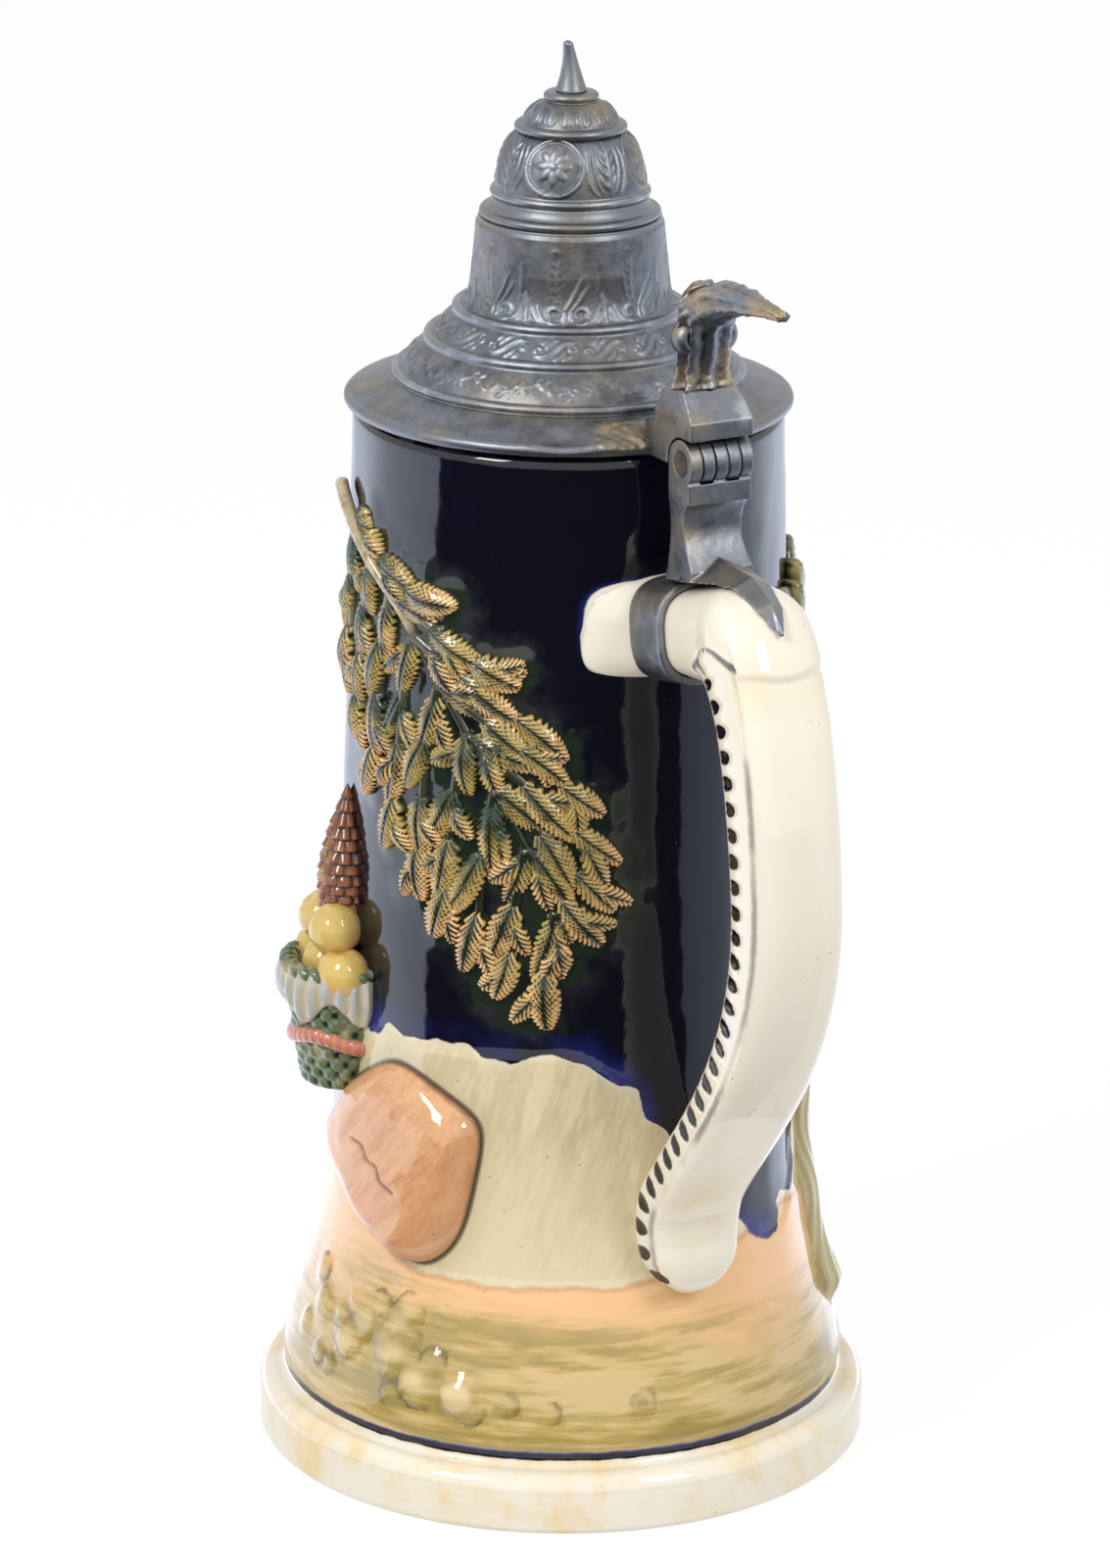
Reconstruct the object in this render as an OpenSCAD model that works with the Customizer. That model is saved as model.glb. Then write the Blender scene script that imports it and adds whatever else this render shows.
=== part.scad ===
// Lidded ceramic tankard with a pewter lid, thumblift and hinge.
// Millimetres. +Z is up, the origin is the centre of the underside of the foot,
// the handle points along +X and the hinge pin lies along Y.

/* [Vessel] */
// Height of the ceramic body from the ground to its lip
body_h = 224; // [205:1:245]
// Outer radius of the wall at the lip
rim_r = 44.2; // [41:0.1:48]
// How much wider the plain wall is at the base than at the lip
wall_taper = 5.5; // [3:0.1:8]
// Extra radius of the flare just above the foot
flare_out = 9.7; // [6:0.1:12]
// Height over which the flare dies away
flare_len = 28; // [22:1:34]
// Thickness of the wall
wall_t = 4.2; // [3.6:0.1:5]
// Thickness of the floor
floor_t = 11; // [8:0.5:15]
// Radius of the corner between the floor and the inner wall
floor_round = 10; // [4:1:14]
// Height of the foot ring
foot_h = 13; // [11:0.5:16]
// How far the foot ring stands out past the wall above it
foot_out = 5.4; // [4.5:0.1:7]
// Rounding of the foot ring's upper edge
foot_round = 4.2; // [2:0.1:4.4]
// Rounding of the foot ring's lower edge
foot_edge = 1.6; // [0.6:0.1:3]

/* [Handle] */
// Depth of the upper arm's axis below the lip, half way along
arm_drop = 33.5; // [31:0.5:38]
// How far the arm climbs from the wall to the shoulder
arm_rise = 5; // [2:0.5:8]
// Length of the straight arm from the wall to the shoulder
arm_len = 27; // [24:0.5:31]
// Half height of the arm
arm_half_h = 9; // [8:0.1:10]
// Half width of the arm at the strap
arm_half_w = 10.8; // [9.5:0.1:12]
// Half width of the arm's root on the wall
root_half_w = 18; // [15:0.1:20]
// Half thickness of the shoulder
shoulder_half_t = 10.4; // [9:0.1:11]
// Reach of the grip's centre line past the lip
grip_reach = 46.2; // [42:0.2:52]
// Depth of the grip's furthest point below the lip
grip_drop = 80; // [70:1:90]
// Half width of the grip
grip_half_w = 10.7; // [9:0.1:12]
// Half thickness of the grip
grip_half_t = 7.7; // [6.6:0.1:8.6]
// Height of the lower root's tip above the ground
low_root_z = 48; // [44:1:56]
// Length of the lower root where it lies along the wall
low_root_len = 22; // [18:1:26]
// Half thickness of the lower root
low_root_half_t = 5.8; // [5:0.1:6.6]
// Depth that the handle and the relief are keyed into the wall
key_depth = 0.8; // [0.5:0.1:1.4]

/* [Hinge] */
// Distance of the hinge pin from the lip's outer edge
hinge_out = 14; // [13:0.1:16]
// Height of the hinge pin above the lip
hinge_up = 1.8; // [1:0.1:3]
// Width of the hinge across its five knuckles
hinge_w = 14.5; // [12.5:0.5:17]
// Diameter of the knuckles
knuckle_d = 9.4; // [8.6:0.1:10]
// Diameter of the hinge pin
pin_d = 5; // [3.5:0.1:5.6]
// Radial clearance of the pin in its bores
pin_clear = 0.05; // [0.02:0.01:0.1]
// Gap between neighbouring knuckles
knuckle_gap = 0.25; // [0.15:0.05:0.4]
// Clearance between knuckles and the parts that turn past them
turn_clear = 0.4; // [0.3:0.05:0.6]
// Width of the strap along the arm
strap_w = 12; // [9:0.5:13]
// Thickness of the strap
strap_t = 1.6; // [1.2:0.1:2]
// Distance of the strap from the wall
strap_from_wall = 3; // [2:0.1:4.5]
// Gap between the pewter mount and the ceramic under it
mount_gap = 0.15; // [0.1:0.05:0.3]
// How far the shank's ledge stands out past the pin
ledge_out = 3.7; // [3.2:0.1:4.2]
// Depth of the ledge's upper edge below the pin
ledge_drop = 3.8; // [3.4:0.1:4.4]
// Height of the ledge
ledge_h = 4.2; // [3.4:0.1:4.8]
// Distance of the shank's waist past the pin
waist_out = 1; // [0.4:0.1:1.8]
// Depth of the waist below the pin
waist_drop = 13.5; // [12:0.1:14.5]
// Half width of the shank at its waist
waist_half_w = 6.5; // [5.2:0.1:7]
// Distance of the shank's foot past the pin
shank_foot_out = 5; // [4:0.1:6]
// Half width of the shank at its foot
shank_foot_half_w = 7.8; // [7:0.1:9]
// Place of the spur's tip along the handle's path, which is 1 at the end of the arm
spur_end = 1.24; // [1.15:0.01:1.35]
// Half width of the spur where it leaves the shank
spur_half_w = 8.6; // [7:0.1:9.6]
// Height of the spur's ridge where it leaves the shank
spur_ridge = 4.6; // [3:0.1:6]
// How far the leaf's lower lip stands out past the pin
lip_out = 4.2; // [3.8:0.1:4.8]
// Height of the leaf's lower lip
lip_h = 3.6; // [3:0.1:4.4]
// Height of the leaf's top above the pin
leaf_h = 14.2; // [12.5:0.1:16]
// Thickness of the leaf's block at its top
leaf_t = 7.2; // [6.6:0.1:8.4]
// How far the leaf's top lies back from the pin
leaf_back = 0.6; // [0.2:0.1:1.2]
// How far the leaf's tongue reaches in over the flange from the lip
tongue_in = 5; // [3:0.1:6]

/* [Lid] */
// Gap between the lip and the closed lid
lid_gap = 0.3; // [0.2:0.05:0.5]
// How far the flange reaches past the lip
flange_over = 1.8; // [1:0.1:3]
// Thickness of the flange at its edge
flange_t = 2.6; // [2:0.1:3.2]
// Height of the flange where it meets the first tier
flange_rise = 6; // [5:0.1:7]
// Radius of the first tier at its foot
tier_r = 35.4; // [33:0.1:37]
// Height of the first tier
tier_h = 7.2; // [6:0.1:8]
// Radius at the ridge between the two tiers
ridge_r = 29.8; // [28:0.1:31]
// Height of the second tier
second_h = 6; // [5:0.1:7]
// Radius at the foot of the drum
drum_foot_r = 24; // [23:0.1:26]
// Radius of the drum
drum_r = 19.4; // [18.5:0.1:21]
// Height of the drum
drum_h = 18; // [15:0.5:21]
// Radius of the crown at its foot
crown_r = 15.5; // [14.5:0.1:17]
// Height of the crown from the drum to its moulding
crown_h = 19.2; // [17:0.2:22]
// Radius of the cap above the crown
cap_r = 10.8; // [10:0.1:11.6]
// Height of the cap
cap_h = 6.2; // [5:0.1:7]
// Radius of the collar under the finial
collar_r = 5.6; // [5:0.1:6.2]
// Height of the finial
finial_h = 10.4; // [8:0.1:13]
// Radius of the finial at its foot
finial_r = 3.2; // [2.6:0.1:4]
// Wall of the lid's castings
shell_t = 2.4; // [2:0.1:3]
// Radius of the beads and ridges between the tiers
bead_r = 0.9; // [0.6:0.05:1.1]

/* [Thumblift] */
// Height of the thumblift above the hinge leaf
lift_h = 20.5; // [17:0.5:24]
// How far the leaf tip reaches out past the stem
lift_reach = 31; // [25:0.5:33]
// Half width of the stem's foot
lift_half_w = 5.8; // [4.6:0.1:6]
// Half width of the stem at its neck
lift_neck_w = 4.4; // [3.5:0.1:5]
// Half thickness of the stem
lift_half_t = 3.5; // [3:0.1:3.6]
// Half size of the leaf's blunt tip
tip_half = 0.8; // [0.6:0.1:1.2]

/* [Relief] */
// Turn of the bough's root around the wall, in degrees
bough_from = -112; // [-122:1:-104]
// Turn of the bough's tip
bough_to = -31; // [-38:1:-24]
// Depth of the bough's root below the lip
bough_drop = 16; // [14:1:24]
// Height of the bough's tip above the ground
bough_tip_z = 130; // [122:1:138]
// Number of twigs on each side of the bough
bough_twigs = 9; // [6:1:11]
// Length of the longest hanging twig
hang_len = 48; // [40:1:52]
// Length of the longest raised twig
raise_len = 42; // [34:1:46]
// Radius of a twig's swelling
twig_r = 2.6; // [2:0.1:3.2]
// Turn of the boulder's middle
boulder_turn = -76; // [-84:1:-72]
// Height of the boulder's middle above the ground
boulder_z = 72; // [68:1:76]
// Width of the boulder
boulder_w = 45; // [38:1:50]
// Height of the boulder
boulder_h = 43; // [36:1:48]
// How far the boulder stands out of the wall
boulder_out = 7; // [5:0.5:9]
// Turn of the basket's middle
basket_turn = -103; // [-108:1:-98]
// Depth of the basket's foot below the boulder's top
basket_drop = 12; // [10:1:14]
// Radius of the basket at its brim
basket_r = 13; // [11:0.1:14]
// Height of the basket
basket_h = 26; // [22:0.5:28]
// Radius of a fruit in the basket
fruit_r = 5.6; // [4.6:0.1:6.4]
// Radius of the fir cone on top of the fruit
cone_r = 7.2; // [6:0.1:8]
// Height of the fir cone
cone_h = 30; // [24:0.5:32]
// Turn of the tree trunk
trunk_turn = 62; // [56:1:70]
// Radius of the tree trunk at its foot
trunk_r = 3.6; // [3:0.1:4.5]
// Height of the trunk's foot above the ground
trunk_foot_z = 27; // [24:1:34]
// Height of the trunk's fork above the ground
trunk_top_z = 166; // [150:1:176]
// Number of leaf tufts round the fork
tree_tufts = 7; // [5:1:9]
// Reach of a leaf tuft from the fork
tuft_len = 25; // [20:1:30]
// Radius of a leaf tuft at its end
tuft_r = 5.4; // [4:0.1:6.5]

/* [Hidden] */
$fn = 96;

cobalt = [0.03, 0.04, 0.13];
cream = [0.90, 0.84, 0.70];
pewter = [0.30, 0.31, 0.33];
bronze = [0.38, 0.31, 0.24];
fir_green = [0.30, 0.33, 0.15];
stone_tan = [0.72, 0.47, 0.28];
wicker = [0.62, 0.44, 0.22];
bark = [0.45, 0.38, 0.26];

// Wall and foot
wall_steps = 44;
foot_r = wall_r(foot_h) + foot_out;

// Handle path: the arm, the bend, the fall and the lower root, one unit each
section_points = 24;
arm_z = body_h - arm_drop;
arm_wall_x = wall_r(arm_z);
root_bite = root_half_w * root_half_w / (2 * arm_wall_x) + key_depth;
arm_start = [arm_wall_x - root_bite, arm_z - arm_rise / 2];
arm_end = [arm_wall_x + arm_len, arm_z + arm_rise / 2];
grip = [rim_r + grip_reach, body_h - grip_drop];
low_tip = [wall_r(low_root_z) + low_root_half_t - key_depth, low_root_z];
low_top_z = low_root_z + low_root_len;
low_top = [wall_r(low_top_z) + low_root_half_t + key_depth, low_top_z];
bend_pull = 9;
bend_drop = 26;
fall_drop = 34;
low_pull = [14, 19];
tip_pull = [5, 8];
root_u = 0;
strap_u0 = (arm_wall_x + strap_from_wall - arm_start.x) / (arm_end.x - arm_start.x);
strap_u1 = strap_u0 + strap_w / norm(arm_end - arm_start);
shoulder_u = 1.12;
collar_u = 1.5;
waist_u = 2;
low_u = 2.7;
end_u = 4;
cap_u = 3.45;

// Hinge
pin_x = rim_r + hinge_out;
pin_z = body_h + hinge_up;
knuckle_r = knuckle_d / 2;
pitch = hinge_w / 5;
arm_slope = (arm_end.y - arm_start.y) / (arm_end.x - arm_start.x);
strap_top = arm_half_h * sqrt(1 + arm_slope * arm_slope) + 2 * mount_gap + strap_t;
shank_back = pin_x - knuckle_r;
ledge_x = pin_x + ledge_out;
ledge_top = pin_z - ledge_drop;
ledge_bottom = ledge_top - ledge_h;
waist_x = pin_x + waist_out;
waist_z = pin_z - waist_drop;
shank_foot_x = pin_x + shank_foot_out;
foot_edge_h = 2;
spur_u0 = 0.66;
lip_x = pin_x + lip_out;
lip_z = pin_z + knuckle_r + turn_clear;
leaf_top_z = pin_z + leaf_h;
leaf_top_x = pin_x - leaf_back;
leaf_back_x = leaf_top_x - leaf_t;
leaf_foot_x = leaf_back_x - 2.8;
tongue_x = rim_r - tongue_in;

// Lid heights
lid_z = body_h + lid_gap;
flange_r = rim_r + flange_over;
tier_z = lid_z + flange_rise;
ridge_z = tier_z + tier_h;
drum_z = ridge_z + second_h + 2 * bead_r;
crown_z = drum_z + drum_h;
cap_z = crown_z + crown_h;
finial_z = cap_z + cap_h;

// Thumblift
lift_x = leaf_top_x - leaf_t / 2;

// Relief
relief_fn = 10;
stem_r = 1.6;
basket_z = boulder_z + boulder_h / 2 - basket_drop;

// Outer radius of the wall at a height: a straight taper and a bell-shaped flare
function wall_r(z) = rim_r + wall_taper * (1 - z / body_h)
    + flare_out * exp(-pow((z - foot_h) / flare_len, 2));

// Inner radius of the wall at a height
function bore_r(z) = rim_r + wall_taper * (1 - z / body_h) - wall_t;

// Points on an arc about a centre, from one angle to another
function arc(c, r, from, to, n = 8) =
    [for (i = [0:n]) let (a = from + (to - from) * i / n) c + r * [cos(a), sin(a)]];

// Points on a curve with one control point
function bow(a, b, c, n = 8) =
    [for (i = [0:n]) let (t = i / n) (1 - t) * (1 - t) * a + 2 * t * (1 - t) * b + t * t * c];

// Point on a curve with two control points
function curve(a, b, c, d, t) = let (s = 1 - t)
    s * s * s * a + 3 * s * s * t * b + 3 * s * t * t * c + t * t * t * d;

// Handle centre line: x and z at a distance u along its four pieces
function handle_at(u) =
    u <= 1 ? arm_start + (arm_end - arm_start) * u :
    u <= 2 ? curve(arm_end, arm_end + bend_pull * [1, arm_slope], grip + [-2, bend_drop], grip, u - 1) :
    u <= 3 ? curve(grip, grip - [-2 * fall_drop / bend_drop, fall_drop], low_top + low_pull, low_top, u - 2) :
    curve(low_top, low_top - tip_pull, low_tip + [0, tip_pull.y], low_tip, u - 3);

// Unit tangent and outward normal of the handle's centre line
function handle_dir(u) = let (d = handle_at(u + 0.004) - handle_at(u - 0.004)) d / norm(d);
function handle_out(u) = let (d = handle_dir(u)) [-d.y, d.x];

// Rounding of the lower root's end, 1 along the handle and 0 at its tip
function end_round(u) = u <= cap_u ? 1 : sqrt(max(0.004, 1 - pow((u - cap_u) / (end_u - cap_u), 2)));

// Half width and half thickness of the handle's section
function handle_half_w(u) = end_round(u) * lookup(u, [[root_u, root_half_w], [strap_u0, arm_half_w],
    [1, arm_half_w], [shoulder_u, arm_half_w + 0.5], [collar_u, grip_half_w], [end_u, grip_half_w]]);
function handle_half_t(u) = end_round(u) * lookup(u, [[root_u, arm_half_h], [strap_u1, arm_half_h],
    [1, shoulder_half_t], [shoulder_u, shoulder_half_t], [collar_u, grip_half_t + 0.5],
    [waist_u, grip_half_t], [low_u, low_root_half_t], [end_u, low_root_half_t]]);

// Squareness of the section: round on the arm, squarer on the grip
function handle_square(u) = lookup(u, [[root_u, 3], [1, 2.6], [collar_u, 4.4], [end_u, 3.6]]);

// Rounded-square ring of half sizes w and t about the handle's centre line
function handle_ring(u, grow = 0) = let (p = handle_at(u), n = handle_out(u), e = 2 / handle_square(u),
    w = handle_half_w(u) + grow, t = handle_half_t(u) + grow)
    [for (i = [0:section_points - 1]) let (a = 360 * i / section_points, c = cos(a), s = sin(a),
        y = w * sign(c) * pow(abs(c), e), q = p + n * t * sign(s) * pow(abs(s), e)) [q.x, y, q.y]];

// Places of the strap's rings along the handle's path
function strap_steps() = [for (i = [0:4]) strap_u0 + (strap_u1 - strap_u0) * i / 4];

// Point of the wall at a turn and a height, raised by a distance
function on_wall(turn, z, out = 0) = let (r = wall_r(z) + out) [r * cos(turn), r * sin(turn), z];

// Skin over a stack of rings, closed by a cap at each end
module skin(rings) {
    n = len(rings[0]);
    m = len(rings);
    sides = [for (i = [0:m - 2], j = [0:n - 1]) let (a = i * n + j, b = i * n + (j + 1) % n)
        each [[a, b + n, b], [a, a + n, b + n]]];
    first = [for (j = [0:n - 1]) j];
    last = [for (j = [n - 1:-1:0]) (m - 1) * n + j];
    polyhedron([for (r = rings) each r], concat([first], sides, [last]));
}

// Tube between two stacks of rings, open along its middle
module sleeve(outer, inner) {
    n = len(outer[0]);
    m = len(outer);
    shift = n * m;
    faces = [for (i = [0:m - 2], j = [0:n - 1]) let (a = i * n + j, b = i * n + (j + 1) % n)
        each [[a, b + n, b], [a, a + n, b + n], [b + shift, b + n + shift, a + shift],
            [b + n + shift, a + n + shift, a + shift]]];
    ends = [for (j = [0:n - 1]) let (b = (j + 1) % n, k = (m - 1) * n)
        each [[b, j + shift, j], [b, b + shift, j + shift],
            [k + j, k + j + shift, k + b], [k + b, k + j + shift, k + b + shift]]];
    polyhedron(concat([for (r = outer) each r], [for (r = inner) each r]), concat(faces, ends));
}

// Hollow body, foot and lip, turned about the axis
module vessel() {
    lip_r = wall_t / 2;
    wall_from = foot_h + 1;
    floor_r = bore_r(floor_t + floor_round);
    outside = [for (i = [0:wall_steps]) let (s = i / wall_steps,
        z = wall_from + (body_h - lip_r - wall_from) * s * (0.45 + 0.55 * s)) [wall_r(z), z]];
    inside = [for (i = [0:6]) let (z = body_h - lip_r - (body_h - lip_r - floor_t - floor_round) * i / 6)
        [bore_r(z), z]];
    color(cobalt)
        rotate_extrude()
            polygon(concat([[0, 0]],
                arc([foot_r - foot_edge, foot_edge], foot_edge, -90, 0),
                arc([foot_r - foot_round, foot_h - foot_round], foot_round, 0, 90),
                outside,
                arc([rim_r - lip_r, body_h - lip_r], lip_r, 0, 180),
                inside,
                arc([floor_r - floor_round, floor_t + floor_round], floor_round, 0, -90),
                [[0, floor_t]]));
}

// Loop handle: one smooth sweep from the upper root to the lower
module handle() {
    steps = concat([for (i = [0:3]) strap_u0 * i / 4], strap_steps(),
        [for (i = [1:3]) strap_u1 + (1 - strap_u1) * i / 3],
        [for (i = [1:12]) 1 + i / 12], [for (i = [1:14]) 2 + i / 14], [for (i = [1:16]) 3 + i / 16]);
    color(cream)
        difference() {
            skin([for (u = steps) handle_ring(u)]);
            wall_core();
        }
}

// Pewter band round the arm
module handle_strap() {
    outer = [for (u = strap_steps()) handle_ring(u, mount_gap + strap_t)];
    inner = [for (u = strap_steps()) handle_ring(u, mount_gap)];
    color(pewter)
        sleeve(outer, inner);
}

// Solid of a profile drawn in X and Z, centred on the XZ plane
module across(width) {
    rotate([90, 0, 0])
        linear_extrude(width, center = true)
            children();
}

// Row of discs on the pin's axis at every second knuckle, from the first one given
module knuckles(first, r, gap) {
    for (k = [first:2:4])
        translate([pin_x, hinge_w / 2 - (k + 1) * pitch + gap / 2, pin_z])
            rotate([-90, 0, 0])
                cylinder(r = r, h = pitch - gap);
}

// Bore for the pin through the whole hinge
module pin_bore() {
    translate([pin_x, 0, pin_z])
        rotate([90, 0, 0])
            cylinder(d = pin_d + 2 * pin_clear, h = 2 * hinge_w, center = true);
}

// Height of the strap's upper face above the arm's centre line, at a distance from the axis
function saddle_z(x) = arm_start.y + (x - arm_start.x) * arm_slope + strap_top;

// Spur that lies along the shoulder: a ridge that narrows to a point
module spur() {
    steps = [for (i = [0:6]) spur_u0 + (spur_end - spur_u0) * i / 6];
    lift = 2 * mount_gap;
    spur_blunt = 0.5;
    skin([for (u = steps) let (s = (spur_end - u) / (spur_end - spur_u0), p = handle_at(u), n = handle_out(u),
        low = max(handle_half_t(u) + lift, strap_top - 0.4 * (u - spur_u0)),
        w = spur_blunt + (spur_half_w - spur_blunt) * pow(s, 0.65),
        top = low + 0.9 + (spur_ridge - 0.9) * s, a = p + n * low, b = p + n * top)
        [[a.x, w, a.y], [b.x, 0, b.y], [a.x, -w, a.y]]]);
}

// Side outline of the shank: back, foot, concave waist, ledge and the slope up to the pin
function shank_side() = concat([[shank_back, pin_z], [shank_back, saddle_z(shank_back)],
    [shank_foot_x, saddle_z(shank_foot_x)]],
    bow([shank_foot_x, saddle_z(shank_foot_x) + foot_edge_h], [waist_x, waist_z - 3], [waist_x, waist_z]),
    bow([waist_x, waist_z], [waist_x, waist_z + 4], [ledge_x - 0.8, ledge_bottom], 5),
    [[ledge_x, ledge_bottom], [ledge_x, ledge_top], [pin_x, pin_z]]);

// Shank: outer knuckles, concave waist, foot on the strap and spur on the shoulder
module hinge_shank() {
    color(pewter)
        difference() {
            union() {
                intersection() {
                    across(3 * hinge_w)
                        polygon(shank_side());
                    shank_front();
                }
                spur();
                knuckles(0, knuckle_r, knuckle_gap);
            }
            knuckles(1, knuckle_r + turn_clear, 0);
            pin_bore();
        }
}

// Front outline of the shank: straight under the knuckles, drawn in at the waist, wide at the foot
module shank_front() {
    half = hinge_w / 2 - knuckle_gap / 2;
    foot_z = saddle_z(shank_back) - 1;
    side = concat([[half, pin_z + knuckle_r], [half, ledge_bottom]],
        bow([half, ledge_bottom], [waist_half_w, waist_z + 2], [waist_half_w, waist_z - 1], 6),
        bow([waist_half_w, waist_z - 1], [waist_half_w, waist_z - 6], [shank_foot_half_w, foot_z], 8));
    mirrored = [for (i = [len(side) - 1:-1:0]) [-side[i].x, side[i].y]];
    rotate([90, 0, 90])
        linear_extrude(2 * pin_x)
            polygon(concat(side, mirrored));
}

// Hinge pin
module hinge_pin() {
    color(pewter)
        translate([pin_x, 0, pin_z])
            rotate([90, 0, 0])
                cylinder(d = pin_d, h = hinge_w - knuckle_gap, center = true);
}

// Sloped block of the leaf, wide over the knuckles and narrow under the thumblift
module leaf_block() {
    half = hinge_w / 2 - knuckle_gap / 2;
    narrow = lift_half_w + 0.4;
    lip_top = lip_z + lip_h;
    intersection() {
        across(2 * hinge_w)
            polygon([[leaf_foot_x, pin_z], [pin_x, pin_z], [pin_x + 1, lip_z], [lip_x, lip_z],
                [lip_x, lip_top], [leaf_top_x, leaf_top_z], [leaf_back_x, leaf_top_z],
                [leaf_foot_x, lip_top]]);
        rotate([90, 0, 90])
            linear_extrude(2 * pin_x)
                polygon([[-half, lid_z], [half, lid_z], [half, lip_top], [narrow, leaf_top_z],
                    [-narrow, leaf_top_z], [-half, lip_top]]);
    }
}

// Tongue that carries the leaf on the flange and narrows towards the tiers
module tongue() {
    half = hinge_w / 2 - knuckle_gap / 2;
    tip_half_w = 0.6 * half;
    back = pin_x - knuckle_r + 1;
    low_z = lid_z + 0.4;
    top_z = lip_z + 1;
    intersection() {
        across(3 * hinge_w)
            polygon([[tongue_x, lid_z + flange_t], [flange_r, low_z], [back, low_z], [back, top_z],
                [leaf_foot_x + 1.8, top_z], [tongue_x, tier_z]]);
        translate([0, 0, lid_z])
            linear_extrude(3 * flange_rise)
                polygon([[tongue_x, -tip_half_w], [flange_r, -half], [back, -half], [back, half],
                    [flange_r, half], [tongue_x, tip_half_w]]);
    }
}

// Leaf on the lid: inner knuckles, sloped block under the thumblift and a tongue on the flange
module hinge_leaf() {
    color(pewter)
        difference() {
            union() {
                difference() {
                    union() {
                        leaf_block();
                        tongue();
                    }
                    knuckles(0, knuckle_r + turn_clear, 0);
                    lid_solid();
                }
                knuckles(1, knuckle_r, knuckle_gap);
            }
            pin_bore();
        }
}

// Outline of the lid's base up to the drum's foot, from the flange's edge inwards
function base_outline() = concat(
    arc([flange_r - flange_t / 2, lid_z + flange_t / 2], flange_t / 2, -90, 90),
    [[tier_r + bead_r, tier_z]],
    arc([tier_r, tier_z + bead_r], bead_r, -60, 110),
    bow([tier_r - bead_r, tier_z + 2 * bead_r],
        [(tier_r + ridge_r) / 2 + 0.6, (tier_z + ridge_z) / 2 + bead_r], [ridge_r, ridge_z]),
    arc([ridge_r - bead_r, ridge_z + bead_r], bead_r, -30, 100),
    bow([ridge_r - 2 * bead_r, ridge_z + 2 * bead_r],
        [(ridge_r + drum_foot_r) / 2 - bead_r, (ridge_z + drum_z) / 2], [drum_foot_r, drum_z - 2 * bead_r]),
    arc([drum_foot_r - bead_r, drum_z - bead_r], bead_r, -30, 90));

// The lid's base without its hollow
module lid_solid() {
    rotate_extrude()
        polygon(concat([[0, lid_z]], base_outline(), [[0, drum_z]]));
}

// Flange and the two scroll tiers, hollow underneath
module lid_base() {
    hollow_r = tier_r - shell_t;
    neck_r = drum_r - shell_t;
    color(pewter)
        rotate_extrude()
            polygon(concat([[hollow_r, lid_z]], base_outline(),
                [[neck_r, drum_z], [neck_r, drum_z - 2], [ridge_r - 2 * shell_t, tier_z + shell_t],
                    [hollow_r, lid_z + shell_t]]));
}

// Drum with a flared foot
module lid_drum() {
    inner = drum_r - shell_t;
    color(pewter)
        rotate_extrude()
            polygon(concat([[inner, drum_z]],
                bow([drum_foot_r - 2 * bead_r, drum_z], [drum_r + 0.4, drum_z + 1.5],
                    [drum_r + 0.5, drum_z + drum_h / 2]),
                [[drum_r - 0.2, crown_z - 1.2], [drum_r - 0.7, crown_z - 0.6], [drum_r - 0.7, crown_z],
                    [inner, crown_z]]));
}

// Ring, neck, bell and leaf cap
module lid_crown() {
    foot_z = crown_z + 2 * bead_r;
    bell_z = crown_z + 6;
    inner = crown_r - shell_t;
    color(pewter)
        rotate_extrude()
            polygon(concat([[inner, crown_z]],
                arc([drum_r - 2 * bead_r, crown_z + bead_r], bead_r, -90, 90),
                bow([drum_r - 2.5 * bead_r, foot_z], [crown_r + 0.6, foot_z + 0.6],
                    [crown_r + 0.4, bell_z - 2 * bead_r]),
                arc([crown_r, bell_z - bead_r], bead_r, -90, 90),
                bow([crown_r, bell_z], [crown_r - 0.8, cap_z - 4], [cap_r, cap_z - 2 * bead_r]),
                arc([cap_r - 0.2, cap_z - bead_r], bead_r, -90, 90),
                bow([cap_r - bead_r, cap_z], [cap_r - 2, cap_z + cap_h * 0.5],
                    [collar_r, finial_z - 2 * bead_r]),
                arc([collar_r - bead_r, finial_z - bead_r], bead_r, -60, 90),
                [[0, finial_z], [0, cap_z - shell_t], [cap_r - shell_t - 1, cap_z - shell_t - 2]]));
}

// Pointed knop, blunt at its tip
module finial() {
    blunt = 1.1;
    color(pewter)
        rotate_extrude()
            polygon(concat([[0, finial_z], [finial_r, finial_z]],
                bow([finial_r, finial_z + 0.8], [blunt + 0.5, finial_z + finial_h * 0.45],
                    [blunt, finial_z + finial_h - blunt]),
                arc([0, finial_z + finial_h - blunt], blunt, 0, 90)));
}

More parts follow.
